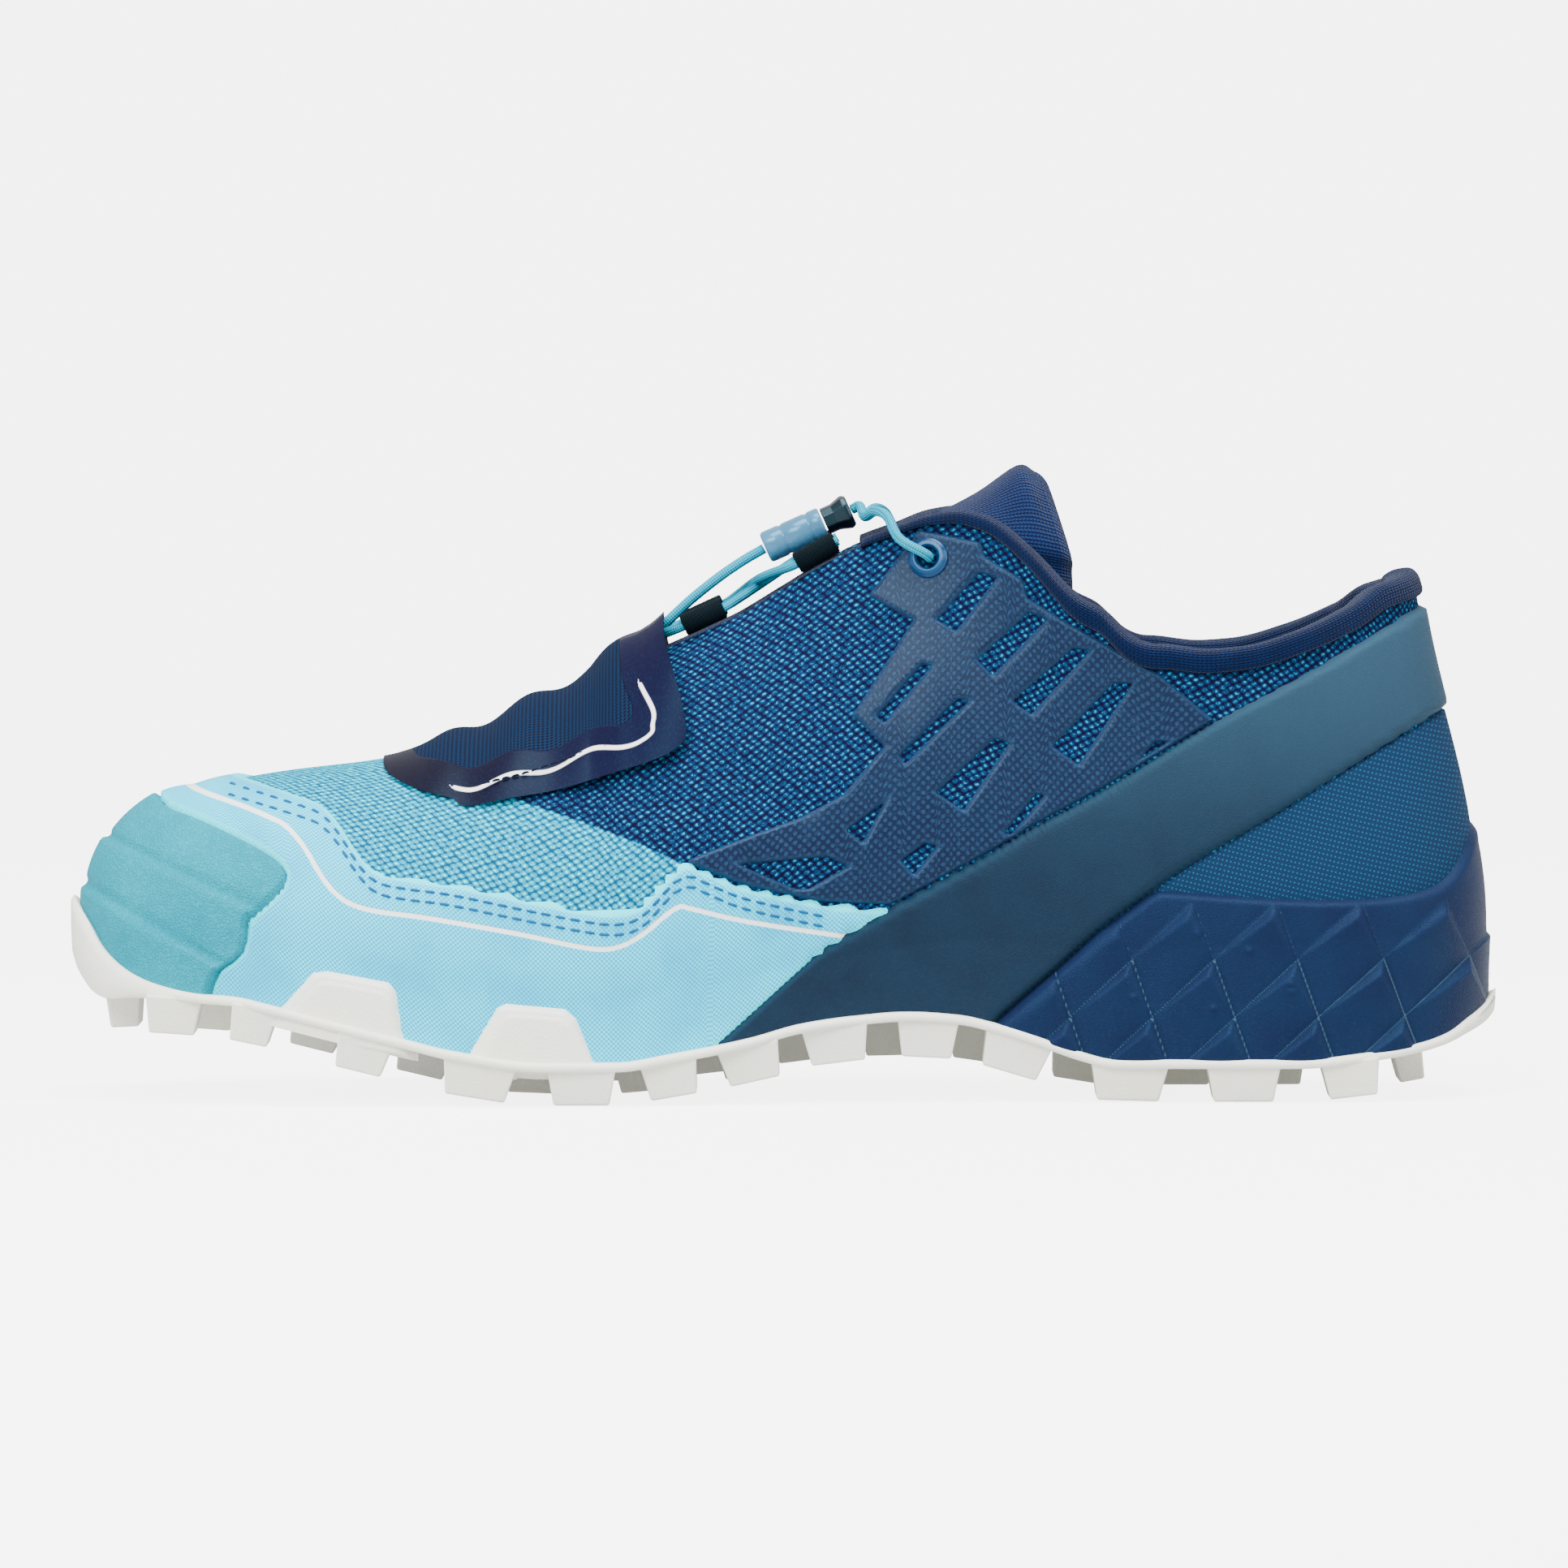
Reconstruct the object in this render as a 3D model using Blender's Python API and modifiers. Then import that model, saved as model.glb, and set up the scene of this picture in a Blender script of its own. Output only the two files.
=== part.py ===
# Trail running shoe, right foot, empty and standing on its lugs.
# Metres. The toe points to -X, the medial side to -Y, and the floor is Z = 0.
import math

import bmesh
import bpy
import numpy as np

# Driving sizes
SHOE_LENGTH = 0.275
BALL_WIDTH = 0.098
INSTEP_HEIGHT = 0.1146
HEEL_HEIGHT = 0.1037
TOE_SPRING = 0.033
ARCH_LIFT = 0.009
HEEL_LIFT = 0.014
LUG_DEPTH = 0.0064
PLATE = 0.0018
TOE_BUMPER = 0.0100
FOREFOOT_FOAM = 0.012
HEEL_FOAM = 0.022
UPPER_WALL = 0.0022
INSOLE_THICKNESS = 0.004
TOE_ROOM = 0.005
TONGUE_THICKNESS = 0.0036
TONGUE_OVERHANG = 0.0250
TONGUE_RISE = 0.0118
TONGUE_CROWN = 0.0010
COVER_HEIGHT = 0.0070
LOOP_LENGTH = 0.0085
LOOP_WIDTH = 0.0062
LOOP_TALL = 0.0042
LOOP_WALL = 0.0008
LOOP_INSET = 0.0019
LOOP_LIFT = 0.0006
LACE_START = 0.405
LACE_RISE = 0.0030
EDGE_CROSSING = 0.5700
COLLAR_DEPTH = 0.022
BINDING = 0.0008
BARREL_LENGTH = 0.0122
BARREL_TALL = 0.0062
BARREL_WIDE = 0.0096
BUTTON_LENGTH = 0.0055
COLLAR_ROLL = 0.0040
COLLAR_PAD = 0.0040
CAP_THICKNESS = 0.0022
RAND_THICKNESS = 0.0009
BAND_THICKNESS = 0.0015
COUNTER_THICKNESS = 0.0008
FILM_THICKNESS = 0.0009
COVER_THICKNESS = 0.0013
WRAP_THICKNESS = 0.0022
CUP_THICKNESS = 0.0044
CUP_TOP = 0.55
CUP_RIM = 0.42
CUP_THINNING = 0.35
SCALE_RELIEF = 0.0011
SCALE_START = (0.78909, 0.33072)
SCALE_PITCH = 0.0144
SCALE_RISE = 0.0150
BARREL_EDGE = 0.0005
COVER_CLEARANCE = 0.00075
COVER_WIDTH_STEPS = 15
TONGUE_DROOP = 0.35
TONGUE_TUCK = (0.0070, 0.0035, 0.0)
TONGUE_NARROWING = 0.0024
LACE_CENTRE = 0.55
COLLAR_BLEND = 0.12
EYELET_FLANGE = 0.0039
EYELET_HOLE = 0.0019
CORD_DIAMETER = 0.0019
GAP = 0.0003

# What lies outside the upper at the sole's edge: cap, rubber and the two gaps between them
SIDE_STACK = CAP_THICKNESS + 0.0018 + 2 * GAP
TOP_INSET = SIDE_STACK - 0.0006
INNER_CLEARANCE = UPPER_WALL + 2 * GAP

# Plan outline: share of length, centre line and half width as shares of ball width
PLAN = (
    (0.00, -0.050, 0.000), (0.02, -0.050, 0.190), (0.05, -0.050, 0.285), (0.10, -0.045, 0.370),
    (0.18, -0.030, 0.445), (0.27, -0.010, 0.490), (0.34, 0.000, 0.500), (0.42, 0.010, 0.480),
    (0.50, 0.020, 0.425), (0.58, 0.022, 0.380), (0.66, 0.015, 0.362), (0.74, 0.008, 0.365),
    (0.82, 0.003, 0.370), (0.89, 0.000, 0.355), (0.94, 0.000, 0.305), (0.975, 0.000, 0.220),
    (1.00, 0.000, 0.000),
)
# Top of the outsole's edge: share of length, shares of toe spring, arch lift and heel lift,
# and how far the bumper or plate reaches below it as a share of the toe bumper
SOLE_LINE = (
    (0.00, 1.00, 0.0, 0.0, 1.10), (0.013, 0.80, 0.0, 0.0, 1.10), (0.027, 0.62, 0.0, 0.0, 0.75),
    (0.045, 0.50, 0.0, 0.0, 0.32), (0.062, 0.44, 0.0, 0.0, 0.12), (0.094, 0.385, 0.0, 0.0, 0.0),
    (0.12, 0.37, 0.0, 0.0, 0.0), (0.14, 0.335, 0.0, 0.0, 0.0), (0.24, 0.130, 0.0, 0.0, 0.0),
    (0.27, 0.070, 0.0, 0.0, 0.0), (0.335, 0.0, 0.0, 0.0, 0.0), (0.385, 0.0, 0.0, 0.0, 0.0),
    (0.42, 0.0, 0.16, 0.0, 0.0), (0.476, 0.0, 0.48, 0.0, 0.0), (0.512, 0.0, 0.77, 0.0, 0.0),
    (0.548, 0.0, 0.92, 0.0, 0.0), (0.585, 0.0, 1.00, 0.0, 0.0), (0.621, 0.0, 0.93, 0.0, 0.0),
    (0.646, 0.0, 0.76, 0.0, 0.0), (0.676, 0.0, 0.48, 0.0, 0.0), (0.705, 0.0, 0.17, 0.0, 0.0),
    (0.73, 0.0, 0.0, 0.0, 0.0), (0.86, 0.0, 0.0, 0.0, 0.0), (0.898, 0.0, 0.0, 0.07, 0.0),
    (0.938, 0.0, 0.0, 0.18, 0.0), (0.962, 0.0, 0.0, 0.32, 0.03), (0.978, 0.0, 0.0, 0.52, 0.12),
    (1.00, 0.0, 0.0, 0.95, 0.30),
)
LATERAL_ARCH = 0.55
# Foam under the foot: share of length, shares of forefoot foam and heel foam
FOAM = (
    (0.00, 0.12, 0.00), (0.02, 0.40, 0.00), (0.06, 0.60, 0.00), (0.15, 0.90, 0.00),
    (0.30, 1.00, 0.00), (0.42, 1.00, 0.00), (0.55, 0.70, 0.15), (0.65, 0.40, 0.50),
    (0.75, 0.00, 0.97), (0.90, 0.00, 1.00), (0.97, 0.00, 0.80), (1.00, 0.00, 0.55),
)
# Top line of the upper: share of length, forward or backward shift as a share of length,
# height as shares of instep and heel height, half width of the opening as a share of ball width
TOP_LINE = (
    (0.00, 0.065, 0.506, 0.0, 0.0), (0.03, 0.043, 0.512, 0.0, 0.0), (0.08, 0.016, 0.526, 0.0, 0.0),
    (0.154, 0.0, 0.547, 0.0, 0.0), (0.21, 0.0, 0.563, 0.0, 0.0), (0.26, 0.0, 0.598, 0.0, 0.0),
    (0.327, 0.0, 0.655, 0.0, 0.0), (0.36, 0.0, 0.690, 0.0, 0.0), (0.385, 0.0, 0.720, 0.0, 0.092),
    (0.415, 0.0, 0.750, 0.0, 0.132), (0.464, 0.0, 0.802, 0.0, 0.153), (0.496, 0.0, 0.846, 0.0, 0.163),
    (0.521, 0.0, 0.881, 0.0, 0.178), (0.554, 0.0, 0.921, 0.0, 0.204), (0.580, 0.0, 0.943, 0.0, 0.224),
    (0.606, 0.0, 0.962, 0.0, 0.245), (0.622, 0.0, 0.965, 0.0, 0.255), (0.638, 0.0, 0.958, 0.0, 0.265),
    (0.653, 0.0, 0.941, 0.0, 0.275), (0.678, 0.0, 0.888, 0.0, 0.290), (0.709, 0.0, 0.808, 0.0, 0.306),
    (0.735, 0.0, 0.768, 0.0, 0.316), (0.769, 0.0, 0.0, 0.802, 0.326), (0.802, 0.0, 0.0, 0.794, 0.326),
    (0.830, -0.001, 0.0, 0.799, 0.320), (0.88, -0.008, 0.0, 0.829, 0.290), (0.93, -0.018, 0.0, 0.873, 0.224),
    (0.965, -0.029, 0.0, 0.911, 0.158), (1.00, -0.041, 0.0, 0.940, 0.0),
)
# Shape of the side wall: share of length, upright start, belly, crown, waist and drop at the top
SECTIONS = (
    (0.00, 0.55, 0.000, 0.45, 0.00, 0.03), (0.15, 0.60, 0.012, 0.50, 0.00, 0.00),
    (0.30, 0.58, 0.020, 0.50, 0.00, 0.00), (0.36, 0.52, 0.030, 0.50, 0.00, 0.04),
    (0.45, 0.42, 0.045, 0.50, 0.00, 0.15), (0.55, 0.36, 0.045, 0.40, 0.02, 0.30),
    (0.65, 0.35, 0.030, 0.30, 0.00, 0.35), (0.75, 0.35, 0.020, 0.30, -0.02, 0.35),
    (0.85, 0.35, 0.020, 0.20, 0.00, 0.35), (1.00, 0.40, 0.012, 0.10, 0.03, 0.40),
)
THROAT_FRONT = 0.36
COLLAR_FRONT = 0.585
# Edges drawn on the side: share of length, share of instep height
RAND_EDGE = (
    (0.111, 0.536), (0.158, 0.506), (0.180, 0.487), (0.194, 0.451), (0.205, 0.413), (0.218, 0.384),
    (0.238, 0.373), (0.269, 0.364), (0.316, 0.342), (0.363, 0.321), (0.385, 0.317), (0.400, 0.328),
    (0.410, 0.350), (0.423, 0.383), (0.434, 0.395), (0.450, 0.379), (0.474, 0.357), (0.524, 0.330),
    (0.574, 0.321),
)
CAP_EDGE = (
    (0.056, 0.512), (0.069, 0.483), (0.092, 0.465), (0.118, 0.440), (0.138, 0.417), (0.151, 0.395),
    (0.155, 0.378), (0.153, 0.358), (0.140, 0.326), (0.129, 0.304), (0.128, 0.278), (0.125, 0.252),
    (0.118, 0.235), (0.109, 0.220), (0.104, 0.194), (0.103, 0.183),
)
CAP_RIDGES = (((0.017, 0.434), (0.127, 0.326)), ((0.020, 0.343), (0.103, 0.238)))
# Thickness of the top of the toe cap and of the two bands below its ridges, as shares of its thickness
CAP_TOP_SHARE = 0.62
CAP_BANDS = (0.81, 1.0)
BAND_TOP = (
    (0.449, 0.092), (0.474, 0.145), (0.521, 0.245), (0.543, 0.279), (0.574, 0.321), (0.607, 0.363),
    (0.643, 0.410), (0.674, 0.454), (0.725, 0.520), (0.798, 0.628), (0.860, 0.706), (0.917, 0.781),
    (0.954, 0.829),
)
BAND_FOOT = (
    (0.647, 0.134), (0.693, 0.230), (0.718, 0.285), (0.752, 0.346), (0.780, 0.394), (0.832, 0.468),
    (0.883, 0.543), (0.931, 0.611), (0.974, 0.666),
)
CUP_EDGE = (
    (0.760, 0.350), (0.775, 0.349), (0.832, 0.339), (0.888, 0.335), (0.931, 0.342), (0.957, 0.363),
    (0.973, 0.414), (0.983, 0.488), (0.985, 0.516),
)
COVER_EDGE = (
    (0.219, 0.577), (0.221, 0.551), (0.230, 0.534), (0.249, 0.516), (0.269, 0.505), (0.279, 0.492),
    (0.307, 0.505), (0.343, 0.520), (0.380, 0.547), (0.407, 0.568), (0.423, 0.586), (0.432, 0.612),
    (0.429, 0.665), (0.423, 0.717), (0.417, 0.765), (0.4135, 0.860),
)
FILM_EDGE = (
    (0.434, 0.405), (0.458, 0.427), (0.511, 0.473), (0.541, 0.510), (0.570, 0.591), (0.548, 0.643),
    (0.590, 0.800), (0.559, 0.840), (0.590, 0.935), (0.593, 0.950), (0.637, 0.930), (0.639, 0.907),
    (0.666, 0.868), (0.669, 0.838), (0.698, 0.795), (0.761, 0.710), (0.793, 0.645),
)
FILM_WINDOWS = (
    ((0.604, 0.800), (0.635, 0.884), (0.651, 0.874), (0.620, 0.777)),
    ((0.632, 0.735), (0.669, 0.818), (0.686, 0.805), (0.645, 0.703)),
    ((0.656, 0.666), (0.700, 0.758), (0.716, 0.754), (0.672, 0.639)),
    ((0.684, 0.591), (0.728, 0.700), (0.745, 0.700), (0.705, 0.555)),
    ((0.738, 0.552), (0.757, 0.603), (0.772, 0.603)),
    ((0.562, 0.640), (0.596, 0.732), (0.605, 0.726), (0.570, 0.625)),
    ((0.578, 0.575), (0.620, 0.674), (0.632, 0.669), (0.584, 0.557)),
    ((0.603, 0.514), (0.646, 0.609), (0.659, 0.599), (0.625, 0.479)),
    ((0.650, 0.445), (0.674, 0.516), (0.684, 0.513), (0.658, 0.440)),
    ((0.541, 0.453), (0.575, 0.514), (0.555, 0.425)),
    ((0.579, 0.402), (0.597, 0.435), (0.609, 0.428), (0.590, 0.372)),
    ((0.462, 0.400), (0.530, 0.413), (0.548, 0.393), (0.518, 0.352), (0.507, 0.352)),
)
WRAPS = (
    ((0.140, 0.12), (0.176, 0.216), (0.185, 0.219), (0.227, 0.201), (0.231, 0.187), (0.235, 0.120),
     (0.242, 0.08)),
    ((0.278, 0.06), (0.303, 0.160), (0.308, 0.166), (0.348, 0.157), (0.355, 0.142), (0.366, 0.074),
     (0.371, 0.05)),
)
# Lugs: share of length, length and width as shares of ball width, and the edge or middle they
# stand at, -1 medial, 0 middle, 1 lateral
LUGS = (
    (0.077, 0.110, 0.17, -1), (0.134, 0.092, 0.17, -1), (0.211, 0.112, 0.18, -1),
    (0.290, 0.145, 0.19, -1), (0.360, 0.135, 0.19, -1), (0.420, 0.112, 0.18, -1),
    (0.475, 0.122, 0.17, -1), (0.535, 0.130, 0.16, -1), (0.600, 0.120, 0.16, -1),
    (0.663, 0.135, 0.17, -1), (0.740, 0.150, 0.19, -1), (0.819, 0.145, 0.19, -1),
    (0.893, 0.115, 0.18, -1),
    (0.105, 0.105, 0.17, 1), (0.170, 0.105, 0.17, 1), (0.245, 0.115, 0.18, 1),
    (0.325, 0.130, 0.19, 1), (0.385, 0.090, 0.18, 1), (0.450, 0.115, 0.17, 1),
    (0.510, 0.115, 0.16, 1), (0.575, 0.120, 0.16, 1), (0.640, 0.120, 0.16, 1),
    (0.710, 0.110, 0.17, 1), (0.780, 0.145, 0.19, 1), (0.850, 0.110, 0.18, 1),
    (0.905, 0.085, 0.17, 1),
    (0.038, 0.070, 0.20, 0), (0.100, 0.100, 0.19, 0), (0.175, 0.110, 0.22, 0),
    (0.250, 0.115, 0.24, 0), (0.325, 0.120, 0.24, 0), (0.400, 0.115, 0.22, 0),
    (0.470, 0.105, 0.18, 0), (0.745, 0.110, 0.18, 0), (0.825, 0.115, 0.18, 0),
    (0.936, 0.062, 0.22, 0),
)
LUG_TAPER = 0.80
LUG_ROOT = 0.0008
EYELET_AT = (0.601, 0.903)
# Rise of the throat cover above the vamp: share of length, share of cover lift
COVER_LIFT = (
    (0.00, 0.0), (0.22, 0.0), (0.30, 0.16), (0.36, 0.36), (0.40, 0.86), (0.425, 1.00), (1.00, 1.00),
)
# Free end of the tongue: share of the overhang, share of its rise, half width as a share of ball width
TONGUE_END = ((0.45, 0.45, 0.205), (0.85, 0.90, 0.190), (1.05, 0.80, 0.175))
LOOP_STATIONS = (0.446, 0.528)

# How far side pieces reach below the outsole's top before they are trimmed to it
TRIM = 0.004

WALL_ROWS = 6
COLUMNS = 30
FINE_FROM = 0.52
FINE_TO = 0.78


def start_empty():
    for thing in list(bpy.data.objects):
        bpy.data.objects.remove(thing)
    for group in list(bpy.data.collections):
        bpy.data.collections.remove(group)


def new_collection(name):
    made = bpy.data.collections.new(name)
    bpy.context.scene.collection.children.link(made)
    return made


def material(name, colour, roughness, metallic=0.0):
    made = bpy.data.materials.new(name)
    made.use_nodes = True
    shader = made.node_tree.nodes["Principled BSDF"]
    shader.inputs["Base Color"].default_value = (*colour, 1.0)
    shader.inputs["Roughness"].default_value = roughness
    shader.inputs["Metallic"].default_value = metallic
    return made


def through(table, column, at):
    """A column of a table at these stations, on a curve that never overshoots its rows.

    Stations are taken as angles, 0 at the toe and pi at the heel, so that both ends come out round.
    """
    rows = np.array(table, float)
    x = np.arccos(1 - 2 * rows[:, 0])
    y = rows[:, column]
    step = np.diff(x)
    slope = np.diff(y) / step
    tangent = np.empty_like(y)
    tangent[0], tangent[-1] = slope[0], slope[-1]
    same_way = slope[:-1] * slope[1:] > 0
    before, after = slope[:-1], slope[1:]
    mean = 2 * before * after / np.where(same_way, before + after, 1.0)
    tangent[1:-1] = np.where(same_way, mean, 0.0)
    where = np.arccos(np.clip(1 - 2 * np.asarray(at, float), -1, 1))
    i = np.clip(np.searchsorted(x, where, side="right") - 1, 0, len(x) - 2)
    t = (where - x[i]) / step[i]
    return (
        (1 + 2 * t) * (1 - t) ** 2 * y[i]
        + t * (1 - t) ** 2 * step[i] * tangent[i]
        + t**2 * (3 - 2 * t) * y[i + 1]
        + t**2 * (t - 1) * step[i] * tangent[i + 1]
    )


def stations():
    """Shares of length of the columns on one side, closer at the ends and at the collar's front."""
    turns = np.linspace(0, math.pi, COLUMNS + 1)
    share = (1 - np.cos(turns)) / 2
    middles = (share[1:] + share[:-1]) / 2
    extra = middles[(middles > FINE_FROM) & (middles < FINE_TO)]
    return np.sort(np.concatenate([share, extra]))


def sole_top(share, side):
    arch = np.where(np.asarray(side) > 0, LATERAL_ARCH, 1.0)
    return (
        LUG_DEPTH + PLATE
        + TOE_SPRING * through(SOLE_LINE, 1, share)
        + ARCH_LIFT * arch * through(SOLE_LINE, 2, share)
        + HEEL_LIFT * through(SOLE_LINE, 3, share)
    )


def sole_bottom(share, side):
    return sole_top(share, side) - PLATE - TOE_BUMPER * through(SOLE_LINE, 4, share)


def foam(share):
    return FOREFOOT_FOAM * through(FOAM, 1, share) + HEEL_FOAM * through(FOAM, 2, share)


SHARES = stations()
HEEL_COLUMN = len(SHARES) - 1
# Round the shoe: out along the medial side, back along the lateral side
LOOP_SHARE = np.concatenate([SHARES, SHARES[-2:0:-1]])
LOOP_SIDE = np.concatenate([np.full(HEEL_COLUMN + 1, -1.0), np.full(HEEL_COLUMN - 1, 1.0)])
LOOP = len(LOOP_SHARE)
OPPOSITE = (LOOP - np.arange(LOOP)) % LOOP


def plan_loop():
    """The upper's plan outline at the sole, and its outward directions."""
    x = (LOOP_SHARE - 0.5) * (SHOE_LENGTH - 2 * SIDE_STACK)
    half = through(PLAN, 2, LOOP_SHARE) * (BALL_WIDTH - 2 * SIDE_STACK)
    y = through(PLAN, 1, LOOP_SHARE) * BALL_WIDTH + LOOP_SIDE * half
    points = np.stack([x, y], axis=1)
    run = np.roll(points, -1, axis=0) - np.roll(points, 1, axis=0)
    out = np.stack([run[:, 1], -run[:, 0]], axis=1)
    return points, out / np.linalg.norm(out, axis=1)[:, None]


PLAN_POINTS, PLAN_OUT = plan_loop()


def foot_height(x):
    share = x / SHOE_LENGTH + 0.5
    return sole_top(share, LOOP_SIDE) + foam(share)


def wall_grid():
    """The upper's outer surface, rows from the sole's edge up to the top line, one column a station."""
    bed = sole_top(PLAN_POINTS[:, 0] / SHOE_LENGTH + 0.5, LOOP_SIDE)
    low = np.concatenate([PLAN_POINTS, (bed - TRIM)[:, None]], axis=1)
    feather = low.copy()
    feather[:, 2] = foot_height(PLAN_POINTS[:, 0])
    top = np.empty_like(low)
    top[:, 0] = low[:, 0] + SHOE_LENGTH * through(TOP_LINE, 1, LOOP_SHARE)
    half = BALL_WIDTH * through(TOP_LINE, 4, LOOP_SHARE)
    top[:, 1] = through(PLAN, 1, LOOP_SHARE) * BALL_WIDTH + LOOP_SIDE * half
    top[:, 2] = (
        INSTEP_HEIGHT * through(TOP_LINE, 2, LOOP_SHARE) + HEEL_HEIGHT * through(TOP_LINE, 3, LOOP_SHARE)
    )
    rise, belly, crown, waist, drop = (through(SECTIONS, k, LOOP_SHARE)[:, None] for k in range(1, 6))
    height = (top - feather)[:, 2:3]
    across = (feather - top) * (1, 1, 0)
    out = np.concatenate([PLAN_OUT, np.zeros((LOOP, 1))], axis=1) * BALL_WIDTH
    up = np.array([0, 0, 1.0])
    first = feather + up * rise * height + out * belly
    second = top + across * crown + out * waist - up * drop * height
    t = np.linspace(0, 1, WALL_ROWS + 1)[:, None, None]
    wall = (
        (1 - t) ** 3 * feather + 3 * t * (1 - t) ** 2 * first + 3 * t**2 * (1 - t) * second + t**3 * top
    )
    return np.concatenate([low[None], wall])


def grid_normals(grid):
    along = np.roll(grid, -1, axis=1) - np.roll(grid, 1, axis=1)
    upward = np.gradient(grid, axis=0)
    normal = np.cross(along, upward)
    normal /= np.maximum(np.linalg.norm(normal, axis=2), 1e-12)[:, :, None]
    closed = LOOP_SHARE <= THROAT_FRONT
    meeting = normal[-2] + normal[-2, OPPOSITE]
    meeting /= np.linalg.norm(meeting, axis=1)[:, None]
    normal[-1, closed] = meeting[closed]
    return normal


WALL = wall_grid()
NORMALS = grid_normals(WALL)
TOP_ROW = len(WALL) - 1


def form(offset):
    """The upper's surface moved outwards, or inwards where offset is negative."""
    return WALL + NORMALS * offset


def side_point(mark):
    """A mark on the side, as (share of length, share of instep height), in metres."""
    return (mark[0] - 0.5) * SHOE_LENGTH, mark[1] * INSTEP_HEIGHT


def mesh_object(name, points, faces, where, solid=True):
    mesh = bpy.data.meshes.new(name)
    mesh.from_pydata([tuple(p) for p in np.asarray(points, float)], [], faces)
    work = bmesh.new()
    work.from_mesh(mesh)
    bmesh.ops.remove_doubles(work, verts=work.verts, dist=1e-6)
    bmesh.ops.dissolve_degenerate(work, edges=work.edges, dist=1e-6)
    if solid:
        bmesh.ops.recalc_face_normals(work, faces=work.faces)
    work.to_mesh(mesh)
    work.free()
    made = bpy.data.objects.new(name, mesh)
    where.objects.link(made)
    return made


def grid_faces(rows, columns, wrap, first=0):
    faces = []
    for r in range(rows - 1):
        for c in range(columns if wrap else columns - 1):
            d = (c + 1) % columns
            low, next_low = first + r * columns + c, first + r * columns + d
            high, next_high = low + columns, next_low + columns
            faces += [(low, next_low, next_high), (low, next_high, high)]
    return faces


def sheet_object(name, grid, wrap, where):
    rows, columns = grid.shape[:2]
    faces = grid_faces(rows, columns, wrap)
    return mesh_object(name, grid.reshape(-1, 3), faces, where, solid=False)


def thicken(piece, thickness, offset):
    wall = piece.modifiers.new("wall", "SOLIDIFY")
    wall.thickness = thickness
    wall.offset = offset
    return piece


def ring_solid(name, rings, where):
    """Loops round the shoe, from the first loop's flat cap to the last one's. A cap is rungs across."""
    rings = np.asarray(rings)
    faces = grid_faces(len(rings), LOOP, True)
    for base in (0, (len(rings) - 1) * LOOP):
        for i in range(HEEL_COLUMN):
            a, b = i, i + 1
            near, far, far_back, near_back = (base + k for k in (a, b, OPPOSITE[b], OPPOSITE[a]))
            faces += [f for f in ((near, far, far_back), (near, far_back, near_back)) if len(set(f)) == 3]
    return mesh_object(name, rings.reshape(-1, 3), faces, where)


def swept_solid(name, profiles, where, wrap=False):
    """A closed profile carried along a path: profiles is (stations, profile points, 3)."""
    profiles = np.asarray(profiles)
    count, around = profiles.shape[:2]
    faces = []
    for i in range(count if wrap else count - 1):
        j = (i + 1) % count
        for k in range(around):
            m = (k + 1) % around
            faces.append((i * around + k, i * around + m, j * around + m, j * around + k))
    if not wrap:
        faces.append(tuple(range(around)))
        faces.append(tuple((count - 1) * around + k for k in range(around)))
    return mesh_object(name, profiles.reshape(-1, 3), faces, where)


def prism(name, outline, low_y, high_y, helpers):
    """A closed outline on the side, in metres, carried across the shoe as a cutter."""
    around = len(outline)
    points = [(x, low_y, z) for x, z in outline] + [(x, high_y, z) for x, z in outline]
    faces = [tuple(range(around)), tuple(range(around, 2 * around))]
    for k in range(around):
        m = (k + 1) % around
        faces.append((k, m, around + m, around + k))
    cutter = mesh_object(name, points, faces, helpers)
    cutter.hide_render = True
    cutter.display_type = "WIRE"
    return cutter


def boolean(piece, other, operation):
    step = piece.modifiers.new(operation.lower(), "BOOLEAN")
    step.operation = operation
    step.object = other
    step.solver = "EXACT"
    return piece


def edge_points(marks, rise=0.0, shift=0.0):
    return [(side_point(m)[0] + shift, side_point(m)[1] + rise) for m in marks]


FAR = BALL_WIDTH
FRONT = -0.6 * SHOE_LENGTH
BACK = 0.6 * SHOE_LENGTH
BELOW = -0.01
ABOVE = 1.2 * INSTEP_HEIGHT


def overlay_sheet(rows=(0, None), columns=None):
    """Part of the form just outside the upper, a little higher along the crest of the vamp."""
    grid = form(GAP)
    grid[-1, LOOP_SHARE <= THROAT_FRONT, 2] += GAP / 2
    grid = grid[rows[0]:rows[1]]
    return grid if columns is None else grid[:, columns]


def toe_columns(last_share):
    """Columns round the toe from the lateral side to the medial side."""
    count = int(np.searchsorted(SHARES, last_share)) + 1
    return np.arange(-count, count + 1) % LOOP


def side_columns(side, first_share, last_share):
    inside = (LOOP_SHARE > first_share) & (LOOP_SHARE < last_share) & (LOOP_SIDE == side)
    return np.flatnonzero(inside)


def heel_columns(first_share):
    count = HEEL_COLUMN - int(np.searchsorted(SHARES, first_share)) + 1
    return np.arange(HEEL_COLUMN - count, HEEL_COLUMN + count + 1) % LOOP


def make_upper(parts, helpers):
    grid = form(0.0)[1:].copy()
    grid[0, :, 2] += GAP
    piece = thicken(sheet_object("upper", grid, True, parts), UPPER_WALL, -1)
    for side in (-1, 1):
        boolean(piece, eyelet_drill(f"upper_eyelet_drill_{side}", side, helpers), "DIFFERENCE")
    return piece


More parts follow.
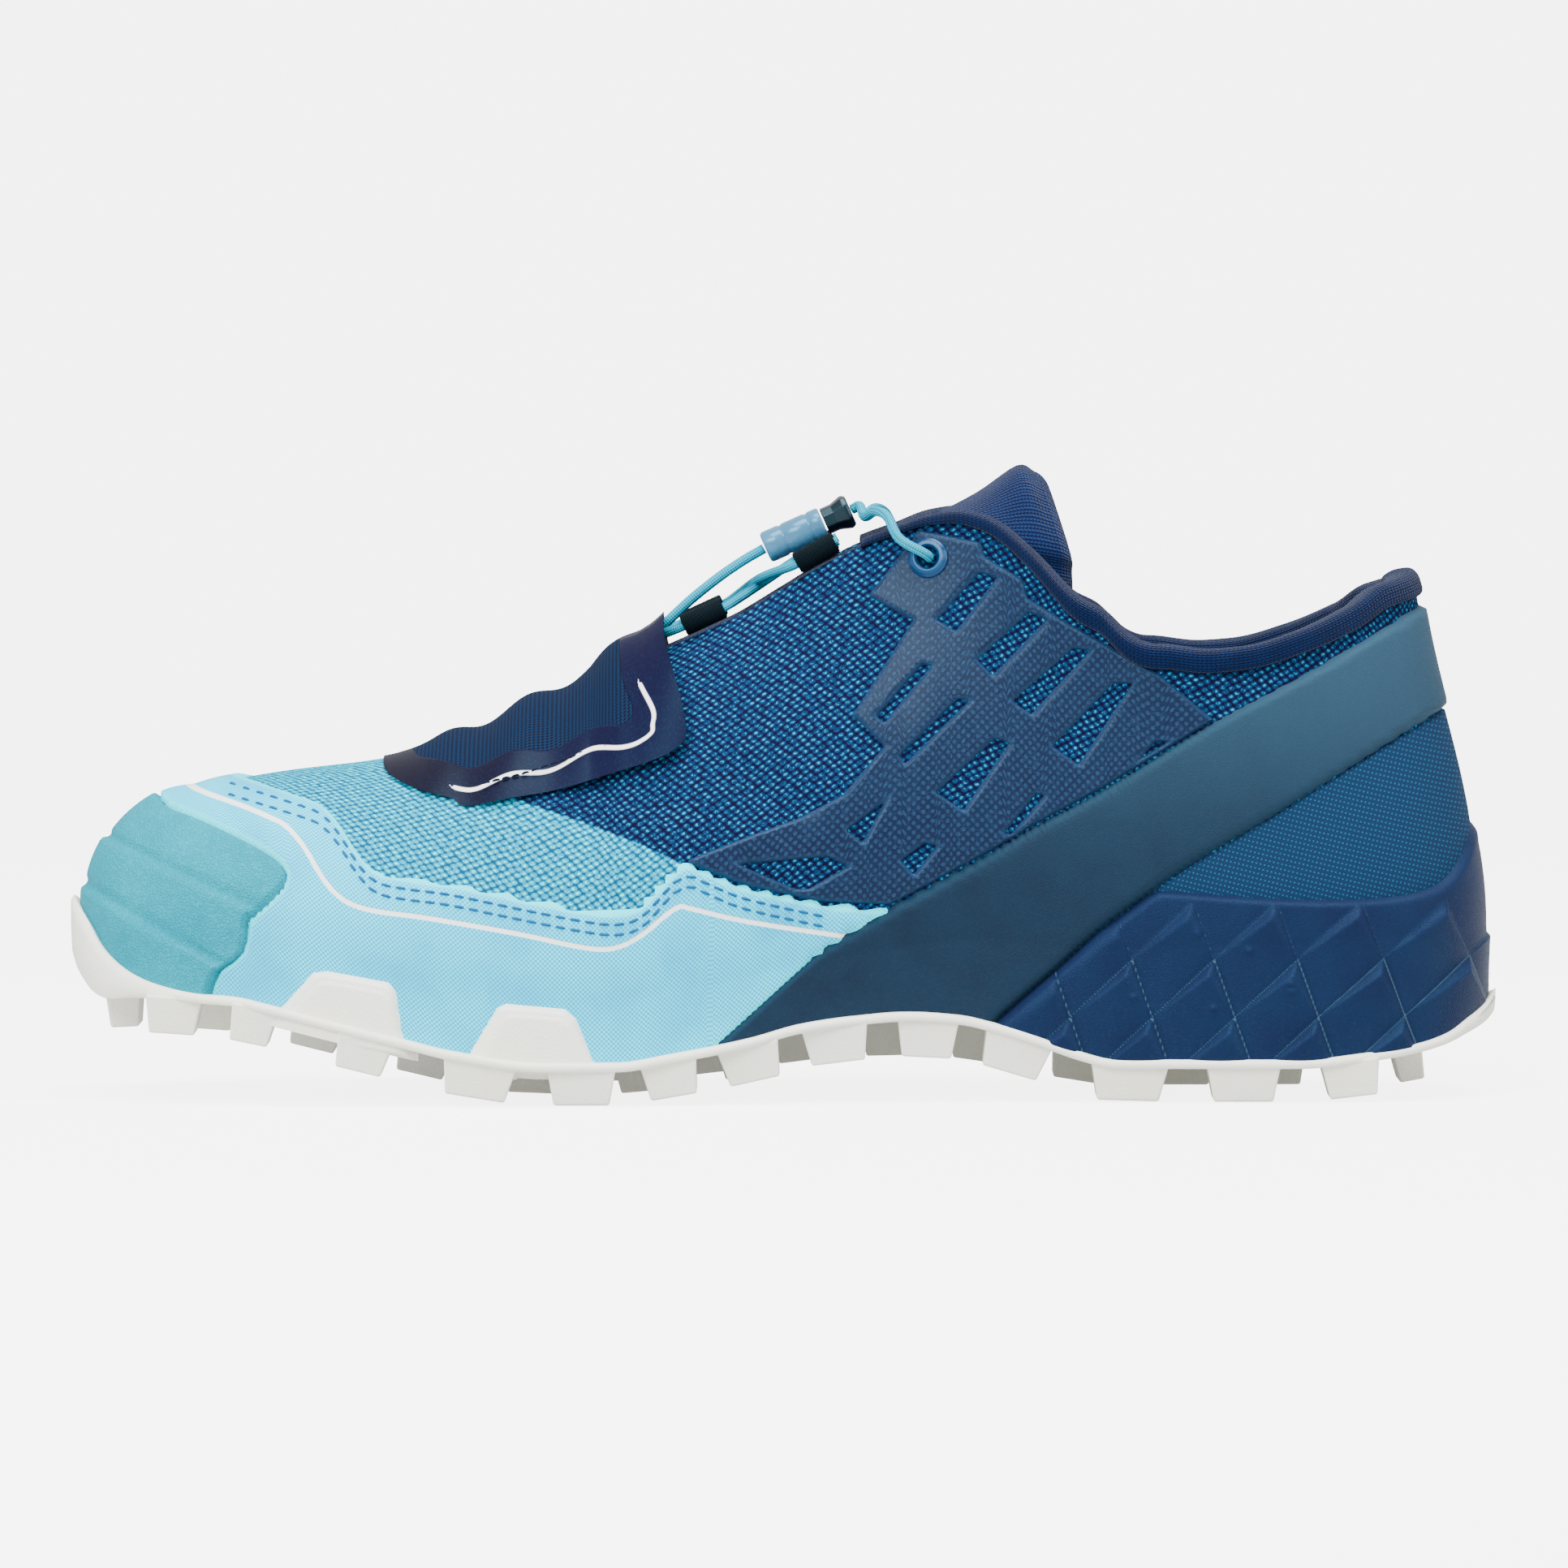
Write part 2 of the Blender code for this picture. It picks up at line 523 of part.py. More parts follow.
def make_midsole(parts, helpers, sole_bed):
    slab = ring_solid("midsole", [WALL[0], WALL[1]], parts)
    columns = heel_columns(0.60)
    profiles = []
    heights = np.linspace(0, 1, 9)
    for c in columns:
        foot = WALL[0, c] - (0, 0, TRIM / 4)
        sit = WALL[1, c, 2] - 2 * GAP
        top = CUP_TOP * INSTEP_HEIGHT
        levels = foot[2] + heights * (top - foot[2])
        outside = [on_column(c, z, cup_offset(c, z)) for z in levels]
        inside = [on_column(c, z, GAP) for z in np.linspace(top, sit, 5)]
        under = [on_column(c, z, -3 * CUP_THICKNESS / 4) for z in (sit, foot[2])]
        profiles.append(outside + inside + under)
    cup = swept_solid("midsole_cup", profiles, helpers)
    cup.hide_render = True
    region = (
        edge_points(BAND_FOOT[:4], -2 * GAP, GAP)
        + edge_points(CUP_EDGE)
        + [(BACK, CUP_EDGE[-1][1] * INSTEP_HEIGHT), (BACK, BELOW),
           (side_point(BAND_FOOT[0])[0] + 2 * GAP, BELOW)]
    )
    boolean(cup, prism("cup_region", region, -FAR, FAR, helpers), "INTERSECT")
    boolean(slab, cup, "UNION")
    return boolean(slab, sole_bed, "DIFFERENCE")


def cup_offset(column, z):
    """How far the foam cup stands out: thick at the sole, thin at its rim, with raised scales."""
    rim = CUP_RIM * INSTEP_HEIGHT
    share = np.clip((z - WALL[0, column, 2]) / (rim - WALL[0, column, 2]), 0, 1)
    body = CUP_THICKNESS - SCALE_RELIEF - CUP_THINNING * CUP_THICKNESS * share**2
    return body + SCALE_RELIEF * scale_height(WALL[0, column, 0], z)


def scale_height(x, z):
    """Overlapping scales: each falls away from its raised upper corner along two slanted edges."""
    start_x, start_z = side_point(SCALE_START)
    across = (x - start_x) / SCALE_PITCH
    climb = (z - start_z) / SCALE_RISE
    first = (across + climb) % 1.0
    second = (across - climb) % 1.0
    return 1.0 - np.maximum(first, 1 - second) if first > 1 - second else 1.0 - (1 - second)


def on_column(column, z, offset):
    """The point of a column at this height, moved out of the wall by offset."""
    heights = WALL[:, column, 2]
    point = np.array([np.interp(z, heights, WALL[:, column, k]) for k in range(3)])
    normal = np.array([np.interp(z, heights, NORMALS[:, column, k]) for k in range(3)])
    point[2] = z
    normal[2] = 0
    return point + normal / np.linalg.norm(normal) * offset


def make_insole(parts):
    """A loose footbed on the foam, clear of the upper's wall."""
    reach = INNER_CLEARANCE + 2 * GAP
    low, high = (
        np.concatenate([PLAN_POINTS - PLAN_OUT * inset, np.zeros((LOOP, 1))], axis=1)
        for inset in (reach, 1.3 * reach)
    )
    for loop, rise in ((low, 2 * GAP), (high, 2 * GAP + INSOLE_THICKNESS)):
        loop[:, 0] = np.maximum(loop[:, 0], loop[0, 0] + TOE_ROOM)
        loop[:, 2] = foot_height(loop[:, 0]) + rise
    return ring_solid("insole", [low, high], parts)


def sole_loop(offset, level, drop=0.0):
    """The outsole's outline, level 0 at its top and 1 at its bottom, moved down by drop."""
    edge = SIDE_STACK if offset > SIDE_STACK else offset
    points = PLAN_POINTS + PLAN_OUT * edge
    share = np.clip(points[:, 0] / SHOE_LENGTH + 0.5, 0, 1)
    top, bottom = sole_top(share, LOOP_SIDE), sole_bottom(share, LOOP_SIDE)
    z = top + (bottom - top) * level - drop
    return np.concatenate([PLAN_POINTS + PLAN_OUT * offset, z[:, None]], axis=1)


def make_sole_bed(helpers):
    """A cutter that trims side pieces and foam just clear of the outsole's top."""
    wide = SIDE_STACK + 0.003
    loops = [sole_loop(wide, 0.0, 0.03), sole_loop(wide, 0.0, -GAP), sole_loop(TOP_INSET, 0.0, -GAP)]
    bed = ring_solid("sole_bed", loops, helpers)
    bed.hide_render = True
    return bed


def make_outsole(parts, helpers):
    loops = [sole_loop(TOP_INSET, 0.0), sole_loop(SIDE_STACK, 0.35), sole_loop(SIDE_STACK - 0.0008, 1.0)]
    sole = ring_solid("outsole", loops[::-1], parts)
    for number, wrap in enumerate(WRAPS):
        over_rand = GAP + RAND_THICKNESS + GAP
        for side in (-1, 1):
            chosen = side_columns(side, 0.10, 0.42)
            inner = (WALL + NORMALS * over_rand)[:4, chosen].copy()
            inner[0, :, 2] += TRIM - PLATE / 2
            piece = thicken(sheet_object(f"wrap_{number}_{side}", inner, False, helpers), WRAP_THICKNESS, 1)
            piece.hide_render = True
            cutter = prism(f"wrap_cut_{number}_{side}", edge_points(wrap), -FAR, FAR, helpers)
            boolean(piece, cutter, "INTERSECT")
            boolean(sole, piece, "UNION")
    for number, lug in enumerate(LUGS):
        boolean(sole, lug_block(f"lug_{number}", lug, helpers), "UNION")
    return sole


def lug_block(name, lug, helpers):
    """A block with a smaller foot, standing square to the sole under it."""
    share, long_share, wide_share, side = lug
    length, width = long_share * BALL_WIDTH, wide_share * BALL_WIDTH
    x = (share - 0.5) * SHOE_LENGTH
    centre = float(through(PLAN, 1, share)) * BALL_WIDTH
    half = float(through(PLAN, 2, share)) * (BALL_WIDTH - 2 * SIDE_STACK) + SIDE_STACK
    y = centre + side * (half - width / 2 - 0.0012)
    reach = length / 2 / SHOE_LENGTH
    mix = (y - (centre - half)) / (2 * half)
    before, here, after = (
        (1 - mix) * float(sole_bottom(s, -1)) + mix * float(sole_bottom(s, 1))
        for s in (share - reach, share, share + reach)
    )
    tilt = math.atan2(after - before, length)
    root = np.array([(-0.5, -0.5), (0.5, -0.5), (0.5, 0.5), (-0.5, 0.5)]) * (length, width)
    foot = root * LUG_TAPER
    ring = np.concatenate([
        np.concatenate([root, np.full((4, 1), LUG_ROOT)], axis=1),
        np.concatenate([foot, np.full((4, 1), -LUG_DEPTH)], axis=1),
    ])
    rotate = np.array([
        [math.cos(tilt), 0, -math.sin(tilt)], [0, 1, 0], [math.sin(tilt), 0, math.cos(tilt)],
    ])
    points = ring @ rotate.T + (x, y, here)
    points[4:, 2] = np.maximum(points[4:, 2], 0.0)
    faces = [(0, 1, 2, 3), (4, 5, 6, 7)] + [(k, (k + 1) % 4, 4 + (k + 1) % 4, 4 + k) for k in range(4)]
    block = mesh_object(name, points, faces, helpers)
    block.hide_render = True
    return block


def make_toe_cap(parts, helpers, sole_bed):
    """A moulded cap in three bands, each lower band standing out a little more."""
    columns = toe_columns(0.20)
    base = overlay_sheet(columns=columns)
    piece = thicken(sheet_object("toe_cap", base, False, parts), CAP_TOP_SHARE * CAP_THICKNESS, 1)
    for number, ((near, far), thick) in enumerate(zip(CAP_RIDGES, CAP_BANDS)):
        rooted = (WALL + NORMALS * (GAP + CAP_THICKNESS / 4))[:, columns[number + 1:-number - 1]]
        rooted[0, :, 2] -= (number + 1) * CAP_THICKNESS / 4
        band = sheet_object(f"cap_band_{number}", rooted, False, helpers)
        thicken(band, thick * CAP_THICKNESS - CAP_THICKNESS / 4, 1)
        band.hide_render = True
        (x0, z0), (x1, z1) = side_point(near), side_point(far)
        region = [(FRONT, z0), (x0, z0), (x1, z1), (0, z1), (0, BELOW), (FRONT, BELOW)]
        boolean(band, prism(f"band_region_{number}", region, -FAR, FAR, helpers), "INTERSECT")
        boolean(piece, band, "UNION")
    region = (
        edge_points(CAP_EDGE)
        + [(side_point(CAP_EDGE[-1])[0], BELOW), (FRONT, BELOW), (FRONT, ABOVE),
           (side_point(CAP_EDGE[0])[0], ABOVE)]
    )
    boolean(piece, prism("cap_region", region, -FAR, FAR, helpers), "INTERSECT")
    return boolean(piece, sole_bed, "DIFFERENCE")


def make_rand(parts, helpers, sole_bed):
    columns = toe_columns(0.62)
    piece = sheet_object("rand", overlay_sheet(columns=columns), False, parts)
    thicken(piece, RAND_THICKNESS, 1)
    front = edge_points(CAP_EDGE, 0.0, GAP * 1.4)
    region = (
        [(front[0][0], ABOVE)] + [(side_point(RAND_EDGE[0])[0], ABOVE)]
        + edge_points(RAND_EDGE[:-1])
        + edge_points(BAND_TOP[4::-1], 0.0, -2 * GAP)
        + [(side_point(BAND_TOP[0])[0] - 0.006, BELOW), (front[-1][0], BELOW)]
        + front[::-1]
    )
    boolean(piece, prism("rand_region", region, -FAR, FAR, helpers), "INTERSECT")
    return boolean(piece, sole_bed, "DIFFERENCE")


def make_heel_band(parts, helpers, sole_bed):
    columns = heel_columns(0.42)
    piece = sheet_object("heel_band", overlay_sheet(columns=columns), False, parts)
    thicken(piece, BAND_THICKNESS, 1)
    rear_top, rear_foot = BAND_TOP[-1][1] * INSTEP_HEIGHT, BAND_FOOT[-1][1] * INSTEP_HEIGHT
    region = (
        edge_points(BAND_TOP) + [(BACK, rear_top), (BACK, rear_foot)]
        + edge_points(BAND_FOOT[::-1])
        + [(side_point(BAND_FOOT[0])[0] - 0.006, BELOW), (side_point(BAND_TOP[0])[0] - 0.006, BELOW)]
    )
    boolean(piece, prism("band_region", region, -FAR, FAR, helpers), "INTERSECT")
    return boolean(piece, sole_bed, "DIFFERENCE")


def make_counter(parts, helpers):
    columns = heel_columns(0.70)
    piece = sheet_object("heel_counter", overlay_sheet(rows=(1, None), columns=columns), False, parts)
    thicken(piece, COUNTER_THICKNESS, 1)
    foot_edge = edge_points(BAND_FOOT[4:], -2 * GAP)
    region = (
        foot_edge
        + [(BACK, foot_edge[-1][1]), (BACK, CUP_EDGE[-1][1] * INSTEP_HEIGHT + GAP)]
        + edge_points(CUP_EDGE[:0:-1], GAP)
    )
    return boolean(piece, prism("counter_region", region, -FAR, FAR, helpers), "INTERSECT")


def make_saddle(side, name, parts, helpers):
    """Welded film over the midfoot, with its windows cut out."""
    columns = side_columns(side, 0.40, 0.84)
    piece = sheet_object(name, overlay_sheet(rows=(1, None), columns=columns), False, parts)
    thicken(piece, FILM_THICKNESS, 1)
    region = (
        edge_points(FILM_EDGE)
        + edge_points(BAND_TOP[9:3:-1], 3 * GAP)
        + edge_points(RAND_EDGE[-2:13:-1], 2 * GAP)
    )
    low_y, high_y = (-FAR, -0.003) if side < 0 else (0.003, FAR)
    boolean(piece, prism(f"{name}_region", region, low_y, high_y, helpers), "INTERSECT")
    for number, window in enumerate(FILM_WINDOWS):
        cutter = prism(f"{name}_window_{number}", edge_points(window), low_y, high_y, helpers)
        boolean(piece, cutter, "DIFFERENCE")
    return boolean(piece, eyelet_drill(f"{name}_drill", side, helpers), "DIFFERENCE")


def eyelet_place(side):
    """Where the top eyelet sits on the wall: its centre and the wall's outward direction."""
    x, z = side_point(EYELET_AT)
    along = np.arange(HEEL_COLUMN) if side < 0 else OPPOSITE[np.arange(HEEL_COLUMN)]
    stations_x = WALL[TOP_ROW - 1, along, 0]
    i = int(np.clip(np.searchsorted(stations_x, x) - 1, 0, len(along) - 2))
    mix = (x - stations_x[i]) / (stations_x[i + 1] - stations_x[i])
    column = (1 - mix) * WALL[:, along[i]] + mix * WALL[:, along[i + 1]]
    normals = (1 - mix) * NORMALS[:, along[i]] + mix * NORMALS[:, along[i + 1]]
    point = np.array([x] + [np.interp(z, column[:, 2], column[:, k]) for k in (1, 2)])
    normal = np.array([np.interp(z, column[:, 2], normals[:, k]) for k in range(3)])
    return point, normal / np.linalg.norm(normal)


def turned(name, profile, centre, axis, sides, where):
    """A profile of (radius, height along the axis), turned round the axis into a closed ring."""
    helper = np.array([1.0, 0, 0]) if abs(axis[0]) < 0.7 else np.array([0, 0, 1.0])
    first = np.cross(axis, helper)
    first /= np.linalg.norm(first)
    second = np.cross(axis, first)
    rings = []
    for k in range(sides):
        turn = 2 * math.pi * k / sides
        spoke = math.cos(turn) * first + math.sin(turn) * second
        rings.append([centre + spoke * r + axis * h for r, h in profile])
    return swept_solid(name, rings, where, wrap=True)


def eyelet_drill(name, side, helpers):
    centre, axis = eyelet_place(side)
    first = np.cross(axis, (1.0, 0, 0))
    first /= np.linalg.norm(first)
    second = np.cross(axis, first)
    radius = EYELET_HOLE + 0.0007 + GAP
    ring = [radius * (math.cos(a) * first + math.sin(a) * second) for a in np.arange(12) * math.pi / 6]
    profiles = [[centre + axis * h + r for r in ring] for h in (-0.006, 0.006)]
    drill = swept_solid(name, profiles, helpers)
    drill.hide_render = True
    drill.display_type = "WIRE"
    return drill


def make_eyelet(side, name, parts):
    centre, axis = eyelet_place(side)
    face = GAP + FILM_THICKNESS + GAP
    profile = (
        (EYELET_HOLE, -UPPER_WALL), (EYELET_HOLE + 0.0007, -UPPER_WALL), (EYELET_HOLE + 0.0007, face),
        (EYELET_FLANGE, face), (EYELET_FLANGE, face + 0.0006), (EYELET_HOLE, face + 0.0009),
    )
    return turned(name, profile, centre, axis, 16, parts)


def down_column(column, distance, offset):
    """A point this far down a column from the top line, or above it, moved out of the wall."""
    points, normals = WALL[::-1, column], NORMALS[::-1, column]
    run = np.concatenate([[0], np.cumsum(np.linalg.norm(np.diff(points, axis=0), axis=1))])
    point = np.array([np.interp(distance, run, points[:, k]) for k in range(3)])
    normal = np.array([np.interp(distance, run, normals[:, k]) for k in range(3)])
    normal /= np.linalg.norm(normal)
    if distance < 0:
        up = points[0] - points[1]
        point = point - up / np.linalg.norm(up) * distance
    return point + normal * offset


def make_collar(parts):
    """The padded knit that rolls over the top line and lines the heel."""
    columns = np.flatnonzero(LOOP_SHARE > COLLAR_FRONT - 0.03)
    inner_face = UPPER_WALL + 2 * GAP
    profiles = []
    for c in columns:
        full = np.clip((LOOP_SHARE[c] - COLLAR_FRONT) / COLLAR_BLEND, 0, 1)
        pad = COLLAR_PAD * (0.30 + 0.70 * full)
        depth = COLLAR_DEPTH * (0.22 + 0.78 * full)
        roll = COLLAR_ROLL * (0.38 + 0.62 * full)
        marks = (
            (BINDING, -GAP), (BINDING * 1.3, -0.55 * roll), (-UPPER_WALL / 3, -roll),
            (-inner_face - 0.4 * pad, -0.9 * roll), (-inner_face - 0.95 * pad, -0.3 * roll),
            (-inner_face - pad, 0.25 * depth), (-inner_face - 0.75 * pad, 0.75 * depth),
            (-inner_face - 0.35 * pad, depth), (-inner_face, 0.9 * depth), (-inner_face, -GAP),
        )
        profiles.append([down_column(c, distance, offset) for offset, distance in marks])
    return swept_solid("collar", profiles, parts)


def tongue_section(medial, lateral, inset):
    """Outer points across the tongue, tucked inside the upper at both sides."""
    left = [down_column(medial, d, -inset) for d in TONGUE_TUCK]
    right = [down_column(lateral, d, -inset) for d in TONGUE_TUCK[::-1]]
    middle = (left[-1] + right[0]) / 2
    middle[2] = WALL[-1, medial, 2] + TONGUE_CROWN
    quarter_left, quarter_right = (0.45 * left[-1] + 0.55 * middle), (0.45 * right[0] + 0.55 * middle)
    for point in (quarter_left, quarter_right):
        point[2] = 0.25 * left[-1][2] + 0.75 * middle[2]
    return np.array(left + [quarter_left, middle, quarter_right] + right)


def make_tongue(parts):
    """Padded knit under the throat, its free end standing up in front of the ankle."""
    chosen = np.flatnonzero((SHARES > THROAT_FRONT + 0.015) & (SHARES < COLLAR_FRONT + 0.015))
    sections = []
    for c in chosen:
        near_collar = np.clip((SHARES[c] - 0.50) / 0.05, 0, 1)
        inset = UPPER_WALL + 3 * GAP + near_collar * TONGUE_NARROWING
        sections.append(tongue_section(c, OPPOSITE[c], inset))
    last = sections[-1]
    centre = last[4]
    for run, rise, half in TONGUE_END:
        moved = last.copy()
        spread = (last[:, 1] - centre[1]) / np.abs(last[0, 1] - centre[1])
        moved[:, 1] = centre[1] + spread * half * BALL_WIDTH
        moved[:, 0] = last[:, 0] + run * TONGUE_OVERHANG
        arch = 1 - np.abs(spread) ** 2
        moved[:, 2] = last[:, 2] + rise * TONGUE_RISE * arch - run * TONGUE_DROOP * TONGUE_RISE * (1 - arch)
        sections.append(moved)
    profiles = []
    for section in sections:
        run = np.gradient(section, axis=0)
        normal = np.stack([np.zeros(len(run)), -run[:, 2], run[:, 1]], axis=1)
        normal /= np.linalg.norm(normal, axis=1)[:, None]
        profiles.append(np.concatenate([section, (section - normal * TONGUE_THICKNESS)[::-1]]))
    return swept_solid("tongue", profiles, parts)


def make_cover(parts, helpers):
    """A mesh flap from the vamp over the front of the throat, standing clear of the lace."""
    chosen = np.flatnonzero((SHARES > 0.19) & (SHARES < 0.47))
    lift = np.interp(SHARES[chosen], *np.array(COVER_LIFT).T) * COVER_HEIGHT
    clear = COVER_CLEARANCE
    rows = []
    across = np.linspace(-1, 1, COVER_WIDTH_STEPS)
    for c, rise in zip(chosen, lift):
        left = (WALL[3:, c] + NORMALS[3:, c] * clear).tolist()
        right = (WALL[3:, OPPOSITE[c]] + NORMALS[3:, OPPOSITE[c]] * clear).tolist()
        middle = [(np.array(left[-1]) + np.array(right[-1])) / 2]
        line = np.array(left + [m.tolist() for m in middle] + right[::-1])
        run = np.concatenate([[0], np.cumsum(np.linalg.norm(np.diff(line, axis=0), axis=1))])
        at = (across + 1) / 2 * run[-1]
        points = np.stack([np.interp(at, run, line[:, k]) for k in range(3)], axis=1)
        points[:, 2] += rise * (1 - np.abs(across) ** 3)
        rows.append(points)
    grid = np.array(rows)[:, ::-1]
    piece = thicken(sheet_object("throat_cover", grid, False, parts), COVER_THICKNESS, 1)
    region = (
        edge_points(COVER_EDGE)
        + [(side_point(COVER_EDGE[-1])[0], ABOVE), (side_point(COVER_EDGE[0])[0], ABOVE)]
    )
    return boolean(piece, prism("cover_region", region, -FAR, FAR, helpers), "INTERSECT")


def throat_edge(share, side):
    """The upper's top edge at this station, medial or lateral."""
    x = (share - 0.5) * SHOE_LENGTH
    column = side_columns(side, THROAT_FRONT, COLLAR_FRONT)
    order = column[np.argsort(WALL[-1, column, 0])]
    return np.array([np.interp(x, WALL[-1, order, 0], WALL[-1, order, k]) for k in range(3)])


def loop_frame(number, side):
    """A lace loop's centre, its direction along the shoe and the way up from it."""
    station = LOOP_STATIONS[number]
    along = throat_edge(station + 0.01, side) - throat_edge(station - 0.01, side)
    along[1] = 0
    along /= np.linalg.norm(along)
    up = np.array([-along[2], 0, along[0]])
    centre = throat_edge(station, side) + (0, -side * LOOP_INSET, 0)
    return centre + up * (LOOP_TALL / 2 + LOOP_LIFT), along, up


def make_lace_loop(number, side, name, parts):
    """A loop of webbing at the throat's edge, open along the shoe for the lace."""
    centre, along, up = loop_frame(number, side)
    wide = np.array([0, 1.0, 0])
    rings = []
    for k in range(12):
        turn = 2 * math.pi * k / 12
        spoke_wide, spoke_up = math.cos(turn), math.sin(turn)
        ring = []
        for inside, end in ((0, -1), (0, 1), (1, 1), (1, -1)):
            half_wide = LOOP_WIDTH / 2 - inside * LOOP_WALL
            half_tall = LOOP_TALL / 2 - inside * LOOP_WALL
            ring.append(centre + wide * spoke_wide * half_wide + up * spoke_up * half_tall
                        + along * end * LOOP_LENGTH / 2)
        rings.append(ring)
    return swept_solid(name, rings, parts, wrap=True)


def smooth_route(marks, steps):
    """A route through these points without corners, steps points to each stretch."""
    marks = np.array(marks, float)
    padded = np.concatenate([[2 * marks[0] - marks[1]], marks, [2 * marks[-1] - marks[-2]]])
    route = []
    for a, b, c, d in zip(padded, padded[1:], padded[2:], padded[3:]):
        for t in np.arange(steps) / steps:
            route.append(0.5 * (2 * b + (c - a) * t + (2 * a - 5 * b + 4 * c - d) * t**2
                                + (3 * b - a - 3 * c + d) * t**3))
    return np.array(route + [marks[-1]])


def cord(name, marks, where, steps=4):
    curve = bpy.data.curves.new(name, "CURVE")
    curve.dimensions = "3D"
    curve.bevel_depth = CORD_DIAMETER / 2
    curve.bevel_resolution = 2
    curve.use_fill_caps = True
    route = smooth_route(marks, steps)
    line = curve.splines.new("POLY")
    line.points.add(len(route) - 1)
    for point, place in zip(line.points, route):
        point.co = (*place, 1.0)
    made = bpy.data.objects.new(name, curve)
    where.objects.link(made)
    return made


def as_mesh(piece, where):
    """A curve made a mesh with its caps welded, so that it can be joined to another."""
    bpy.context.view_layer.update()
    graph = bpy.context.evaluated_depsgraph_get()
    mesh = bpy.data.meshes.new_from_object(piece.evaluated_get(graph))
    work = bmesh.new()
    work.from_mesh(mesh)
    bmesh.ops.remove_doubles(work, verts=work.verts, dist=1e-6)
    bmesh.ops.recalc_face_normals(work, faces=work.faces)
    work.to_mesh(mesh)
    work.free()
    name = piece.name
    bpy.data.objects.remove(piece)
    made = bpy.data.objects.new(name, mesh)
    where.objects.link(made)
    return made


# Ends of the lock's barrel, and the way of a cord from it to under the throat cover, in metres
LOCK_FOOT = (-0.0036, 0.0, 0.1050)
LOCK_HEAD = (0.0128, 0.0, 0.1123)
TAIL_STRAND = ((-0.0078, 0.0018, 0.1026), (-0.0125, 0.0022, 0.0994), (-0.0180, 0.0024, 0.0950),
               (-0.0235, 0.0022, 0.0899), (-0.0280, 0.0020, 0.0862))


def mirrored(marks, side):
    return [(x, side * y, z) for x, y, z in marks]


def make_lace(parts, helpers):
    """Two strands from under the cover through the loops, crossing between them."""
    strands = []
    for side in (-1, 1):
        first, first_along, _ = loop_frame(0, side)
        second, second_along, _ = loop_frame(1, -side)
        reach = LOOP_LENGTH / 2 + 2 * GAP
        middle = (first + second) / 2
        middle[2] = throat_edge(sum(LOOP_STATIONS) / 2, -1)[2] + LACE_RISE
        start = throat_edge(LACE_START, side) * (1, LACE_CENTRE, 1) + (0, 0, LACE_RISE)
        marks = [
            start, first - first_along * reach, first, first + first_along * reach, middle,
            second - second_along * reach, second, second + second_along * reach,
        ]
        strands.append(as_mesh(cord(f"strand_{side}", marks, helpers, steps=3), helpers))
    lace = strands[0]
    helpers.objects.unlink(lace)
    parts.objects.link(lace)
    lace.name = "lace"
    strands[1].hide_render = True
    return boolean(lace, strands[1], "UNION")


def lock_frame():
    foot, head = np.array(LOCK_FOOT), np.array(LOCK_HEAD)
    along = (head - foot) / np.linalg.norm(head - foot)
    return foot, along, np.array([0, 1.0, 0]), np.array([-along[2], 0, along[0]])


def oval_solid(name, rings, sides, power, parts):
    """Oval slices along the lock: distance along it, height and width, more square for a high power."""
    foot, along, wide, up = lock_frame()
    profiles = []
    for distance, tall, broad in rings:
        ring = []
        for k in range(sides):
            turn = 2 * math.pi * (k + 0.5) / sides
            c, s = math.cos(turn), math.sin(turn)
            c, s = (math.copysign(abs(v) ** (2 / power), v) for v in (c, s))
            ring.append(foot + along * distance + wide * c * broad / 2 + up * s * tall / 2)
        profiles.append(ring)
    return swept_solid(name, profiles, parts)


def make_lock(parts):
    tall, wide, edge = BARREL_TALL, BARREL_WIDE, BARREL_EDGE
    oval_solid("cord_lock_barrel", (
        (0, tall - 2 * edge, wide - 2 * edge), (edge, tall, wide), (BARREL_LENGTH - edge, tall, wide),
        (BARREL_LENGTH, tall - edge, wide - edge),
    ), 20, 2.4, parts)
    start = BARREL_LENGTH + GAP
    oval_solid("cord_lock_button", (
        (start, 0.86 * tall, 0.86 * wide), (start + 0.45 * BUTTON_LENGTH, 0.86 * tall, 0.86 * wide),
        (start + 0.8 * BUTTON_LENGTH, 1.10 * tall, 1.0 * wide), (start + BUTTON_LENGTH, tall, 0.92 * wide),
    ), 12, 3.2, parts)


def make_strands(parts):
    """Free cords: from the lock over the edge into each eyelet, and from the lock under the cover."""
    foot, along, wide, _ = lock_frame()
    tip = foot + along * (BARREL_LENGTH + GAP + BUTTON_LENGTH)
    for side, word in ((-1, "medial"), (1, "lateral")):
        centre, axis = eyelet_place(side)
        edge = throat_edge(EDGE_CROSSING, side)
        marks = [
            tip + along * GAP + wide * side * CORD_DIAMETER * 0.6,
            tip + along * CORD_DIAMETER + wide * side * CORD_DIAMETER,
            edge * (1, 0.35, 1) + (-0.0030, 0, 0.0040),
            edge + (-0.0010, -side * 0.0030, 0.0052),
            edge + (0.0012, side * 0.0022, 0.0042),
            (edge + centre) / 2 + axis * 0.0046 + (0, 0, 0.0012),
            centre + axis * 0.0034 + (0, 0, 0.0004),
            centre - axis * 0.0012,
        ]
        cord(f"cord_top_{word}", marks, parts, steps=3)
        tail = [foot - along * GAP + wide * side * 0.0016] + mirrored(TAIL_STRAND, side)
        cord(f"cord_tail_{word}", tail, parts, steps=2)


def finish(parts):
    """Smooth shading on round pieces, and the object's own floor and centre."""
    for piece in parts.objects:
        if piece.type == "MESH":
            piece.data.shade_smooth()
            piece.data.set_sharp_from_angle(angle=math.radians(35))


